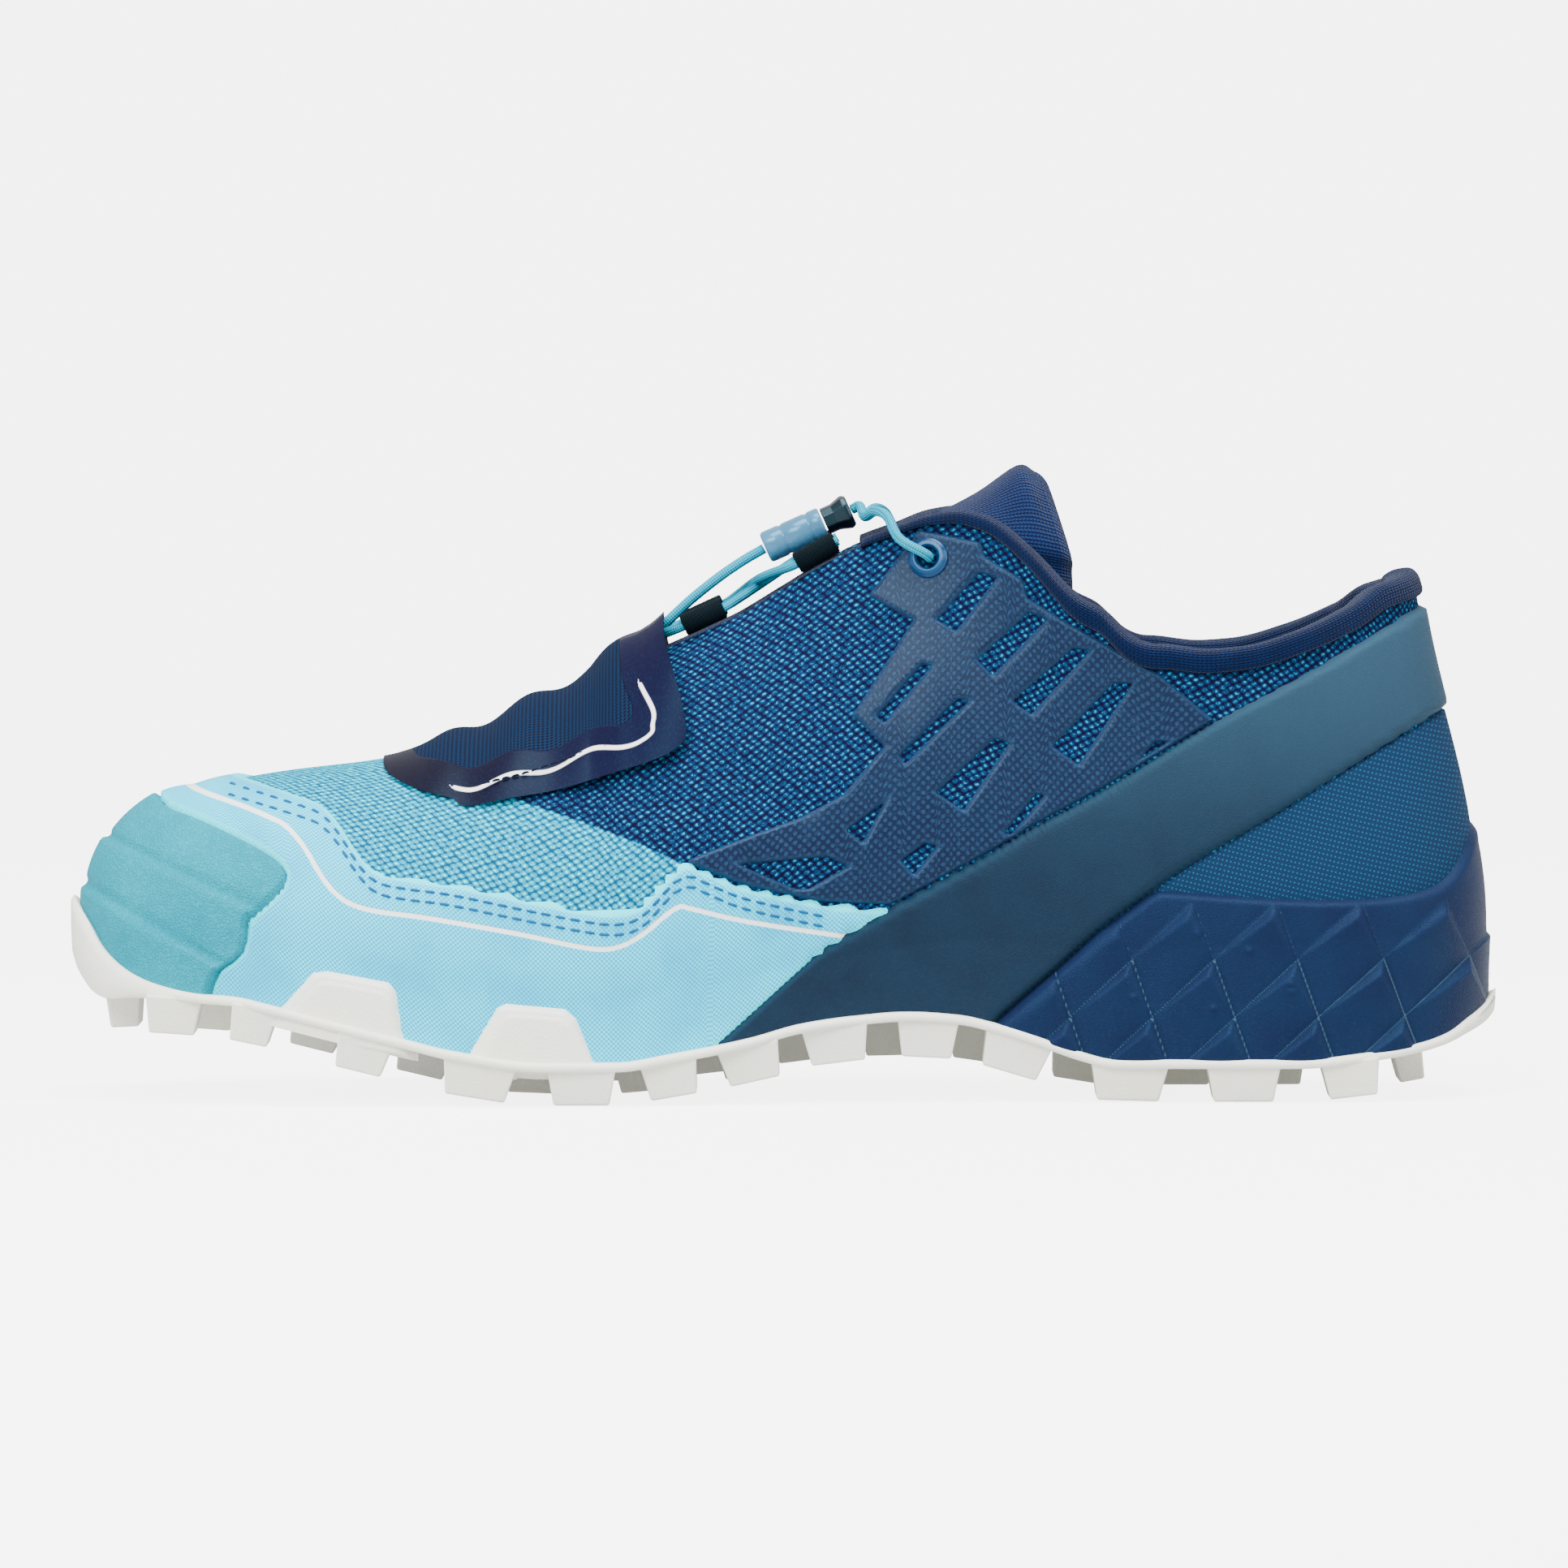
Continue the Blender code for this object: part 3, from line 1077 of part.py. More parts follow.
def main():
    start_empty()
    parts = new_collection("trail_running_shoe")
    helpers = new_collection("cutters")
    looks = {
        "outsole": material("white rubber", (0.83, 0.82, 0.79), 0.6),
        "midsole": material("navy foam", (0.011, 0.048, 0.122), 0.5),
        "insole": material("insole fabric", (0.03, 0.04, 0.10), 0.9),
        "upper": material("blue mesh", (0.017, 0.122, 0.304), 0.85),
        "toe_cap": material("teal rubber", (0.065, 0.515, 0.552), 0.55),
        "rand": material("sky film", (0.262, 0.672, 0.791), 0.5),
        "heel_band": material("slate rubber", (0.023, 0.076, 0.114), 0.5),
        "heel_counter": material("blue film", (0.019, 0.089, 0.202), 0.6),
        "saddle_medial": material("lattice film", (0.026, 0.114, 0.242), 0.4),
        "eyelet_medial": material("eyelet plastic", (0.013, 0.072, 0.188), 0.4),
    }
    knit = material("navy knit", (0.023, 0.037, 0.138), 0.95)
    webbing = material("black webbing", (0.012, 0.011, 0.012), 0.9)
    braid = material("cyan braid", (0.045, 0.515, 0.68), 0.6)
    looks["saddle_lateral"] = looks["saddle_medial"]
    looks["eyelet_lateral"] = looks["eyelet_medial"]
    looks["collar"] = looks["tongue"] = knit
    looks["throat_cover"] = material("cover film", (0.017, 0.036, 0.110), 0.6)
    looks["cord_lock_barrel"] = material("clear blue plastic", (0.156, 0.402, 0.604), 0.3)
    looks["cord_lock_button"] = material("black plastic", (0.013, 0.012, 0.013), 0.45)
    for word in ("medial", "lateral"):
        looks[f"cord_top_{word}"] = looks[f"cord_tail_{word}"] = looks["lace"] = braid
        for number in range(len(LOOP_STATIONS)):
            looks[f"lace_loop_{number + 1}_{word}"] = webbing
    make_outsole(parts, helpers)
    sole_bed = make_sole_bed(helpers)
    make_midsole(parts, helpers, sole_bed)
    make_insole(parts)
    make_upper(parts, helpers)
    make_toe_cap(parts, helpers, sole_bed)
    make_rand(parts, helpers, sole_bed)
    make_heel_band(parts, helpers, sole_bed)
    make_counter(parts, helpers)
    for side, word in ((-1, "medial"), (1, "lateral")):
        make_saddle(side, f"saddle_{word}", parts, helpers)
        make_eyelet(side, f"eyelet_{word}", parts)
        for number in range(len(LOOP_STATIONS)):
            make_lace_loop(number, side, f"lace_loop_{number + 1}_{word}", parts)
    make_collar(parts)
    make_tongue(parts)
    make_cover(parts, helpers)
    make_lace(parts, helpers)
    make_lock(parts)
    make_strands(parts)
    for piece in parts.objects:
        piece.data.materials.clear()
        piece.data.materials.append(looks[piece.name])
    finish(parts)


main()
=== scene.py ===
# Trail running shoe, right foot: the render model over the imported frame.
# Axes as in the frame, in metres: toe at -X, inner side of the foot at -Y, floor at Z 0.
import math

import bpy
import numpy as np
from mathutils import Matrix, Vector


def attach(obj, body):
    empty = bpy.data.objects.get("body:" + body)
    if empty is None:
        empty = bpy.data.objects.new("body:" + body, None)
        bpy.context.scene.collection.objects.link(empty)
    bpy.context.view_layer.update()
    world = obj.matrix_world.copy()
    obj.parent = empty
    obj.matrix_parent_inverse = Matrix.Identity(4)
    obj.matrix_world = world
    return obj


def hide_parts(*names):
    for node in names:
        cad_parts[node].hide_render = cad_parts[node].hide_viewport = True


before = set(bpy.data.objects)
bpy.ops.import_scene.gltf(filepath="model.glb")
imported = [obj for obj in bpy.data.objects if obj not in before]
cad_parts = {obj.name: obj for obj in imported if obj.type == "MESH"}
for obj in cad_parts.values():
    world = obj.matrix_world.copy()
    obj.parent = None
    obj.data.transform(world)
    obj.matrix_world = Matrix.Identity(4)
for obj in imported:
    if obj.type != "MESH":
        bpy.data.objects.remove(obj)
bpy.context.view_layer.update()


# Sizes of the shoe's form in metres; lateralArch and throatFront are shares.
shoe = {"length": 0.275, "ballWidth": 0.098, "instep": 0.1146, "heel": 0.1037, "toeSpring": 0.033,
        "archLift": 0.009, "heelLift": 0.014, "lugDepth": 0.0064, "plate": 0.0018, "toeBumper": 0.01,
        "forefootFoam": 0.012, "heelFoam": 0.022, "wall": 0.0022, "lateralArch": 0.55, "trim": 0.004,
        "sideStack": 0.0046, "throatFront": 0.36}
# Plan: share of length, centre line and half width as shares of the ball's width.
plan = (
    (0, -0.05, 0), (0.02, -0.05, 0.19), (0.05, -0.05, 0.285), (0.1, -0.045, 0.37), (0.18, -0.03, 0.445),
    (0.27, -0.01, 0.49), (0.34, 0, 0.5), (0.42, 0.01, 0.48), (0.5, 0.02, 0.425), (0.58, 0.022, 0.38),
    (0.66, 0.015, 0.362), (0.74, 0.008, 0.365), (0.82, 0.003, 0.37), (0.89, 0, 0.355), (0.94, 0, 0.305),
    (0.975, 0, 0.22), (1, 0, 0),
)
# Sole by share of length: shares of toe spring, arch lift, heel lift and toe bumper.
soleLine = (
    (0, 1, 0, 0, 1.1), (0.013, 0.8, 0, 0, 1.1), (0.027, 0.62, 0, 0, 0.75), (0.045, 0.5, 0, 0, 0.32),
    (0.062, 0.44, 0, 0, 0.12), (0.094, 0.385, 0, 0, 0), (0.12, 0.37, 0, 0, 0), (0.14, 0.335, 0, 0, 0),
    (0.24, 0.13, 0, 0, 0), (0.27, 0.07, 0, 0, 0), (0.335, 0, 0, 0, 0), (0.385, 0, 0, 0, 0), (0.42, 0, 0.16, 0, 0),
    (0.476, 0, 0.48, 0, 0), (0.512, 0, 0.77, 0, 0), (0.548, 0, 0.92, 0, 0), (0.585, 0, 1, 0, 0),
    (0.621, 0, 0.93, 0, 0), (0.646, 0, 0.76, 0, 0), (0.676, 0, 0.48, 0, 0), (0.705, 0, 0.17, 0, 0),
    (0.73, 0, 0, 0, 0), (0.86, 0, 0, 0, 0), (0.898, 0, 0, 0.07, 0), (0.938, 0, 0, 0.18, 0),
    (0.962, 0, 0, 0.32, 0.03), (0.978, 0, 0, 0.52, 0.12), (1, 0, 0, 0.95, 0.3),
)
# Foam by share of length: shares of the forefoot's and the heel's thickness.
foamShares = (
    (0, 0.12, 0), (0.02, 0.4, 0), (0.06, 0.6, 0), (0.15, 0.9, 0), (0.3, 1, 0), (0.42, 1, 0), (0.55, 0.7, 0.15),
    (0.65, 0.4, 0.5), (0.75, 0, 0.97), (0.9, 0, 1), (0.97, 0, 0.8), (1, 0, 0.55),
)
# Top line by share: shift along as a share of length, height as shares of instep and heel, half opening.
topLine = (
    (0, 0.065, 0.506, 0, 0), (0.03, 0.043, 0.512, 0, 0), (0.08, 0.016, 0.526, 0, 0), (0.154, 0, 0.547, 0, 0),
    (0.21, 0, 0.563, 0, 0), (0.26, 0, 0.598, 0, 0), (0.327, 0, 0.655, 0, 0), (0.36, 0, 0.69, 0, 0),
    (0.385, 0, 0.72, 0, 0.092), (0.415, 0, 0.75, 0, 0.132), (0.464, 0, 0.802, 0, 0.153),
    (0.496, 0, 0.846, 0, 0.163), (0.521, 0, 0.881, 0, 0.178), (0.554, 0, 0.921, 0, 0.204),
    (0.58, 0, 0.943, 0, 0.224), (0.606, 0, 0.962, 0, 0.245), (0.622, 0, 0.965, 0, 0.255),
    (0.638, 0, 0.958, 0, 0.265), (0.653, 0, 0.941, 0, 0.275), (0.678, 0, 0.888, 0, 0.29),
    (0.709, 0, 0.808, 0, 0.306), (0.735, 0, 0.768, 0, 0.316), (0.769, 0, 0, 0.802, 0.326),
    (0.802, 0, 0, 0.794, 0.326), (0.83, -0.001, 0, 0.799, 0.32), (0.88, -0.008, 0, 0.829, 0.29),
    (0.93, -0.018, 0, 0.873, 0.224), (0.965, -0.029, 0, 0.911, 0.158), (1, -0.041, 0, 0.94, 0),
)
# Side wall by share: belly's height and width, crown, waist and drop.
wallSections = (
    (0, 0.55, 0, 0.45, 0, 0.03), (0.15, 0.6, 0.012, 0.5, 0, 0), (0.3, 0.58, 0.02, 0.5, 0, 0),
    (0.36, 0.52, 0.03, 0.5, 0, 0.04), (0.45, 0.42, 0.045, 0.5, 0, 0.15), (0.55, 0.36, 0.045, 0.4, 0.02, 0.3),
    (0.65, 0.35, 0.03, 0.3, 0, 0.35), (0.75, 0.35, 0.02, 0.3, -0.02, 0.35), (0.85, 0.35, 0.02, 0.2, 0, 0.35),
    (1, 0.4, 0.012, 0.1, 0.03, 0.4),
)
# Edges drawn on the side, as shares of length and of instep height.
randEdge = (
    (0.111, 0.536), (0.158, 0.506), (0.18, 0.487), (0.194, 0.451), (0.205, 0.413), (0.218, 0.384), (0.238, 0.373),
    (0.269, 0.364), (0.316, 0.342), (0.363, 0.321), (0.385, 0.317), (0.4, 0.328), (0.41, 0.35), (0.423, 0.383),
    (0.434, 0.395), (0.45, 0.379), (0.474, 0.357), (0.524, 0.33), (0.574, 0.321),
)
capEdge = (
    (0.056, 0.512), (0.069, 0.483), (0.092, 0.465), (0.118, 0.44), (0.138, 0.417), (0.151, 0.395), (0.155, 0.378),
    (0.153, 0.358), (0.14, 0.326), (0.129, 0.304), (0.128, 0.278), (0.125, 0.252), (0.118, 0.235), (0.109, 0.22),
    (0.104, 0.194), (0.103, 0.183),
)
bandTop = (
    (0.449, 0.092), (0.474, 0.145), (0.521, 0.245), (0.543, 0.279), (0.574, 0.321), (0.607, 0.363), (0.643, 0.41),
    (0.674, 0.454), (0.725, 0.52), (0.798, 0.628), (0.86, 0.706), (0.917, 0.781), (0.954, 0.829),
)
bandFoot = (
    (0.647, 0.134), (0.693, 0.23), (0.718, 0.285), (0.752, 0.346), (0.78, 0.394), (0.832, 0.468), (0.883, 0.543),
    (0.931, 0.611), (0.974, 0.666),
)
cupEdge = (
    (0.76, 0.35), (0.775, 0.349), (0.832, 0.339), (0.888, 0.335), (0.931, 0.342), (0.957, 0.363), (0.973, 0.414),
    (0.983, 0.488), (0.985, 0.516),
)
coverEdge = (
    (0.219, 0.577), (0.221, 0.551), (0.23, 0.534), (0.249, 0.516), (0.269, 0.505), (0.279, 0.492), (0.307, 0.505),
    (0.343, 0.52), (0.38, 0.547), (0.407, 0.568), (0.423, 0.586), (0.432, 0.612), (0.429, 0.665), (0.423, 0.717),
    (0.417, 0.765), (0.4135, 0.86),
)
filmEdge = (
    (0.434, 0.405), (0.458, 0.427), (0.511, 0.473), (0.541, 0.51), (0.57, 0.591), (0.548, 0.643), (0.59, 0.8),
    (0.559, 0.84), (0.59, 0.935), (0.593, 0.95), (0.637, 0.93), (0.639, 0.907), (0.666, 0.868), (0.669, 0.838),
    (0.698, 0.795), (0.761, 0.71), (0.793, 0.645),
)


# Camera, light and backdrop

view = {"distance": 2.6, "width": 0.3029, "rise": 2.2, "aim": (0, 0, 0.0594)}  # the rise is in degrees
lights = {"front": 39, "top": 44, "strips": 9, "world": 0.66, "worldSeen": 7}


def placeCamera():
    lens = bpy.data.cameras.new("camera")
    lens.sensor_width = 36
    lens.lens = 36 * view["distance"] / view["width"]
    lens.clip_end = 20
    rise, aim = math.radians(view["rise"]), Vector(view["aim"])
    camera = linkObject("camera", lens)
    camera.location = aim + Vector((0, -math.cos(rise), math.sin(rise))) * view["distance"]
    camera.rotation_euler = (aim - camera.location).to_track_quat("-Z", "Y").to_euler()
    bpy.context.scene.camera = camera


def linkObject(name, data):
    made = bpy.data.objects.new(name, data)
    bpy.context.scene.collection.objects.link(made)
    return made


def areaLight(name, place, area, power):
    lamp = bpy.data.lights.new(name, "AREA")
    lamp.shape = "RECTANGLE"
    lamp.size, lamp.size_y = area
    lamp.energy = power
    made = linkObject(name, lamp)
    made.location = place
    made.rotation_euler = (Vector(view["aim"]) - made.location).to_track_quat("-Z", "Y").to_euler()


def placeLight():
    areaLight("softboxFront", (-0.5, -1.3, 0.9), (1.0, 0.8), lights["front"])
    areaLight("softboxTop", (0.1, -0.2, 1.3), (1.2, 0.9), lights["top"])
    areaLight("stripHeel", (1.2, -0.5, 0.5), (0.4, 0.9), lights["strips"])
    areaLight("stripToe", (-1.2, -0.3, 0.3), (0.4, 0.9), lights["strips"])
    world = bpy.data.worlds.new("world")
    bpy.context.scene.world = world
    world.use_nodes = True
    back = world.node_tree.nodes["Background"].inputs
    back["Color"].default_value = (1, 1, 1, 1)
    brighterToCamera(world.node_tree, back["Strength"], lights["world"], lights["worldSeen"])


# One strength for the light that reaches the shoe and another for what the camera sees.
def brighterToCamera(tree, socket, low, high):
    path, strength = tree.nodes.new("ShaderNodeLightPath"), tree.nodes.new("ShaderNodeMapRange")
    tree.links.new(path.outputs["Is Camera Ray"], strength.inputs["Value"])
    strength.inputs["To Min"].default_value, strength.inputs["To Max"].default_value = low, high
    tree.links.new(strength.outputs["Result"], socket)


sweep = {"wide": 3, "front": -1.6, "back": 1.1, "bend": 0.7, "low": -0.0002, "high": 2.2, "glow": 0.25, "seen": 5}


# Pale paper: flat floor, a quarter turn behind the shoe, then straight up.
def placeSweep():
    turns, bend, low = np.linspace(0, math.pi / 2, 25), sweep["bend"], sweep["low"]
    line = [(sweep["front"], low)]
    line += [(sweep["back"] + bend * math.sin(t), bend * (1 - math.cos(t)) + low) for t in turns]
    line += [(sweep["back"] + bend, sweep["high"])]
    points = [(x, y, z) for y, z in line for x in (-sweep["wide"], sweep["wide"])]
    mesh = bpy.data.meshes.new("sweep")
    mesh.from_pydata(points, [], [(2 * k, 2 * k + 1, 2 * k + 3, 2 * k + 2) for k in range(len(line) - 1)])
    paper = bpy.data.materials.new("paper")
    paper.use_nodes = True
    inputs = paper.node_tree.nodes["Principled BSDF"].inputs
    inputs["Base Color"].default_value = (0.45, 0.45, 0.45, 1)
    inputs["Roughness"].default_value = 0.9
    inputs["Emission Color"].default_value = (1, 1, 1, 1)
    brighterToCamera(paper.node_tree, inputs["Emission Strength"], sweep["glow"], sweep["seen"])
    mesh.materials.append(paper)
    linkObject("sweep", mesh)


# Form of the shoe: every surface is read at a turn, 0 at the toe and plus or minus pi at the heel,
# positive on the outer side, and at a rise, 0 at the sole's edge and 1 at the top line

# Monotone cubic through a table's rows, taken over the angle arccos(1 - 2 share).
def through(table, column, at):
    rows = np.array(table, float)
    x, y = np.arccos(1 - 2 * rows[:, 0]), rows[:, column]
    step = np.diff(x)
    slope = np.diff(y) / step
    tangent = np.empty_like(y)
    tangent[0], tangent[-1] = slope[0], slope[-1]
    before, after = slope[:-1], slope[1:]
    same = before * after > 0
    tangent[1:-1] = np.where(same, 2 * before * after / np.where(same, before + after, 1.0), 0.0)
    where = np.arccos(np.clip(1 - 2 * np.asarray(at, float), -1, 1))
    i = np.clip(np.searchsorted(x, where, side="right") - 1, 0, len(x) - 2)
    t = (where - x[i]) / step[i]
    return (
        (1 + 2 * t) * (1 - t) ** 2 * y[i] + t * (1 - t) ** 2 * step[i] * tangent[i]
        + t**2 * (3 - 2 * t) * y[i + 1] + t**2 * (t - 1) * step[i] * tangent[i + 1]
    )


def sideOf(turn):
    wrapped = (np.asarray(turn) + math.pi) % (2 * math.pi) - math.pi
    return np.where(wrapped < 0, -1.0, 1.0)


def shareOf(turn):
    return (1 - np.cos(turn)) / 2


# Top of the outsole: lug depth and plate, plus toe spring, arch lift and heel lift by table.
def soleTop(share, side):
    arch = np.where(np.asarray(side) > 0, shoe["lateralArch"], 1.0)
    return (
        shoe["lugDepth"] + shoe["plate"] + shoe["toeSpring"] * through(soleLine, 1, share)
        + shoe["archLift"] * arch * through(soleLine, 2, share) + shoe["heelLift"] * through(soleLine, 3, share)
    )


def soleBottom(share, side):
    return soleTop(share, side) - shoe["plate"] - shoe["toeBumper"] * through(soleLine, 4, share)


# Outline in plan: the centre line plus or minus the half width, both by table.
def planAt(turn, inset):
    share, side = shareOf(turn), sideOf(turn)
    x = (share - 0.5) * (shoe["length"] - 2 * inset)
    y = through(plan, 1, share) * shoe["ballWidth"]
    y = y + side * through(plan, 2, share) * (shoe["ballWidth"] - 2 * inset)
    return np.stack([x, y], axis=-1)


def outAt(turn, inset):
    run = planAt(turn + 1e-3, inset) - planAt(turn - 1e-3, inset)
    out = np.stack([-run[:, 1], run[:, 0]], axis=1)
    return out / np.linalg.norm(out, axis=1)[:, None]


# Side wall: a cubic Bezier from the sole's edge to the top line; below 0 it drops straight.
def wallAt(turn, rise):
    turn, rise = np.asarray(turn, float), np.asarray(rise, float)
    share, side = shareOf(turn), sideOf(turn)
    ground, out = planAt(turn, shoe["sideStack"]), outAt(turn, shoe["sideStack"])
    at = ground[:, 0] / shoe["length"] + 0.5
    bed = soleTop(at, side)
    foam = shoe["forefootFoam"] * through(foamShares, 1, at) + shoe["heelFoam"] * through(foamShares, 2, at)
    low = np.concatenate([ground, (bed - shoe["trim"])[:, None]], axis=1)
    feather = np.concatenate([ground, (bed + foam)[:, None]], axis=1)
    top = np.empty_like(low)
    top[:, 0] = low[:, 0] + shoe["length"] * through(topLine, 1, share)
    top[:, 1] = (through(plan, 1, share) + side * through(topLine, 4, share)) * shoe["ballWidth"]
    top[:, 2] = shoe["instep"] * through(topLine, 2, share) + shoe["heel"] * through(topLine, 3, share)
    start, belly, crown, waist, drop = (through(wallSections, k, share)[:, None] for k in range(1, 6))
    height = (top - feather)[:, 2:3]
    outward = np.concatenate([out, np.zeros((len(out), 1))], axis=1) * shoe["ballWidth"]
    up = np.array([0, 0, 1.0])
    first = feather + up * start * height + outward * belly
    second = top + (feather - top) * (1, 1, 0) * crown + outward * waist - up * drop * height
    t = np.maximum(rise, 0)[:, None, None]
    curve = (1 - t) ** 3 * feather + 3 * t * (1 - t) ** 2 * first + 3 * t**2 * (1 - t) * second + t**3 * top
    return curve + np.minimum(rise, 0)[:, None, None] * (feather - low)


def rawNormals(turn, rise):
    near = np.minimum(rise, 0.985)
    along = wallAt(turn + 2e-3, near) - wallAt(turn - 2e-3, near)
    upward = wallAt(turn, near + 4e-3) - wallAt(turn, near - 4e-3)
    normal = -np.cross(along, upward)
    return normal / np.maximum(np.linalg.norm(normal, axis=2), 1e-12)[:, :, None]


# Points and outward normals of the wall; over the vamp's crest both sides share one normal.
def formAt(turn, rise):
    turn, rise = np.asarray(turn, float), np.asarray(rise, float)
    points, normals = wallAt(turn, rise), rawNormals(turn, rise)
    other = rawNormals(-turn, rise)
    vamp = shareOf(turn) <= shoe["throatFront"] + 0.01
    share = 0.5 * smooth((rise - 0.72) / 0.28)[:, None, None] * vamp[None, :, None]
    normals = normals * (1 - share) + other * share
    return points, normals / np.linalg.norm(normals, axis=2)[:, :, None]


def smooth(t):
    t = np.clip(t, 0, 1)
    return t * t * (3 - 2 * t)


# A mark on the side, share of length and share of instep height, in metres.
def mark(point):
    return ((point[0] - 0.5) * shoe["length"], point[1] * shoe["instep"])


def marks(points):
    return [mark(p) for p in points]


# Turn from the toe at which a share of the length is reached.
def turnAt(share):
    return math.acos(1 - 2 * share)


# A line drawn on the side, in metres and eased.
def curveOf(points, steps=4):
    return [tuple(p) for p in eased(marks(points), steps)]


# A curve through points: Catmull-Rom, this many steps to each stretch.
def eased(points, steps=5, closed=False):
    p = np.array(points, float)
    ends = (p[-1:], p, p[:2]) if closed else (2 * p[:1] - p[1:2], p, 2 * p[-1:] - p[-2:-1])
    p = np.concatenate(ends)
    a, b, c, d = p[:-3, None], p[1:-2, None], p[2:-1, None], p[3:, None]
    t = (np.arange(steps) / steps).reshape(1, -1, *([1] * (p.ndim - 1)))
    curve = 0.5 * (2 * b + (c - a) * t + (2 * a - 5 * b + 4 * c - d) * t**2 + (3 * b - a - 3 * c + d) * t**3)
    curve = curve.reshape(-1, *p.shape[1:])
    return curve if closed else np.concatenate([curve, p[-2:-1]])


# Signed distance on the side view from points to a closed outline, positive inside.
def inside(points, outline):
    x, z = points[..., 0], points[..., 2]
    line = np.array(outline, float)
    nearest, crossed = np.full(x.shape, 9.0), np.zeros(x.shape, bool)
    for (x0, z0), (x1, z1) in zip(line, np.roll(line, -1, axis=0)):
        dx, dz = x1 - x0, z1 - z0
        t = np.clip(((x - x0) * dx + (z - z0) * dz) / max(dx * dx + dz * dz, 1e-18), 0, 1)
        nearest = np.minimum(nearest, np.hypot(x - x0 - t * dx, z - z0 - t * dz))
        if z0 != z1:
            crossed ^= ((z0 > z) != (z1 > z)) & (x < x0 + (z - z0) / dz * dx)
    return np.where(crossed, nearest, -nearest)


# For an open line drawn on the side, by name: the distance signed by side, and how near it is, 1 to 0.
def lineMarks(name, points, line):
    x, z = points[..., 0], points[..., 2]
    near, signed = np.full(x.shape, 9.0), np.full(x.shape, 9.0)
    line = eased(line, 4)
    for (x0, z0), (x1, z1) in zip(line[:-1], line[1:]):
        dx, dz = x1 - x0, z1 - z0
        t = np.clip(((x - x0) * dx + (z - z0) * dz) / (dx * dx + dz * dz), 0, 1)
        away = np.hypot(x - x0 - t * dx, z - z0 - t * dz)
        side = np.where((x - x0) * dz - (z - z0) * dx < 0, -1.0, 1.0)
        signed = np.where(away < near, side * away, signed)
        near = np.minimum(near, away)
    return {name: signed, name + "Near": smooth(1.6 - near / 0.001)}


# Mesh building

# A mesh from numpy arrays, with a flow map in millimetres and named float attributes.
# A quad whose last two corners are the same becomes a triangle.
def meshPiece(name, points, quads, flow, values=None):
    points, quads = np.asarray(points, np.float32).reshape(-1, 3), np.asarray(quads, np.int32)
    used = np.unique(quads)
    index = np.zeros(len(points), np.int32)
    index[used] = np.arange(len(used))
    quads = index[quads]
    kept = np.ones(quads.shape, bool)
    kept[:, 3] = quads[:, 2] != quads[:, 3]
    corners, counts = quads[kept], kept.sum(axis=1)
    mesh = bpy.data.meshes.new(name)
    mesh.vertices.add(len(used))
    mesh.vertices.foreach_set("co", points[used].ravel())
    mesh.loops.add(len(corners))
    mesh.loops.foreach_set("vertex_index", corners)
    mesh.polygons.add(len(quads))
    mesh.polygons.foreach_set("loop_start", (np.cumsum(counts) - counts).astype(np.int32))
    mesh.update(calc_edges=True)
    smoothFaces(mesh)
    layer = mesh.uv_layers.new(name="flow")
    layer.data.foreach_set("uv", np.asarray(flow, np.float32).reshape(-1, 2)[used][corners].ravel())
    for key, value in (values or {}).items():
        layer = mesh.attributes.new(key, "FLOAT", "POINT")
        layer.data.foreach_set("value", np.asarray(value, np.float32).ravel()[used])
    mesh.validate()
    return linkObject(name, mesh)


def smoothFaces(mesh, on=True):
    mesh.polygons.foreach_set("use_smooth", np.full(len(mesh.polygons), on))


# Length run from the first point or row to each one.
def runAlong(points):
    steps = np.linalg.norm(np.diff(points, axis=0), axis=-1)
    return np.concatenate([np.zeros_like(steps[:1]), np.cumsum(steps, axis=0)])


def gridQuads(rows, columns, wrapped=False):
    r, c = np.meshgrid(np.arange(rows - 1), np.arange(columns if wrapped else columns - 1), indexing="ij")
    a, b = r * columns + c, r * columns + (c + 1) % columns
    return np.stack([a, b, b + columns, a + columns], axis=-1).reshape(-1, 4)


# Flow map of a grid in millimetres: length along its middle row, length up each column.
def flowOf(points):
    along = runAlong(points[len(points) // 2])
    return np.stack([np.broadcast_to(along, points.shape[:2]), runAlong(points)], axis=-1) * 1000


# A grid of points as a mesh, without the faces all of whose corners are left out.
def gridPiece(name, points, wrapped=False, keep=None, values=None):
    quads = gridQuads(*points.shape[:2], wrapped)
    if keep is not None:
        quads = quads[keep.ravel()[quads].any(axis=1)]
    return meshPiece(name, points, quads, flowOf(points), values)


# Closed profiles carried along a path, with fans over both ends.
def closedGrid(name, profiles, capped=True):
    count, around = profiles.shape[:2]
    ring = np.arange(around)
    step = (ring + 1) % around
    row = np.arange(count - 1)[:, None] * around
    quads = np.stack([row + ring, row + step, row + around + step, row + around + ring], -1).reshape(-1, 4)
    points = profiles.reshape(-1, 3)
    flow = np.stack(np.broadcast_arrays(runAlong(profiles[count // 2]), runAlong(profiles[:, 0])[:, None]), axis=-1)
    flow = flow.reshape(-1, 2) * 1000
    if capped:
        first, base = np.full(around, len(points)), (count - 1) * around
        low = np.stack([first, step, ring, ring], -1)
        high = np.stack([first + 1, base + ring, base + step, base + step], -1)
        quads = np.concatenate([quads, low, high])
        points = np.concatenate([points, [profiles[0].mean(0), profiles[-1].mean(0)]])
        flow = np.concatenate([flow, flow[:1], flow[-1:]])
    return meshPiece(name, points, quads, flow)


def modified(piece, kind, **settings):
    step = piece.modifiers.new(kind.lower(), kind)
    for key, value in settings.items():
        setattr(step, key, value)
    return step


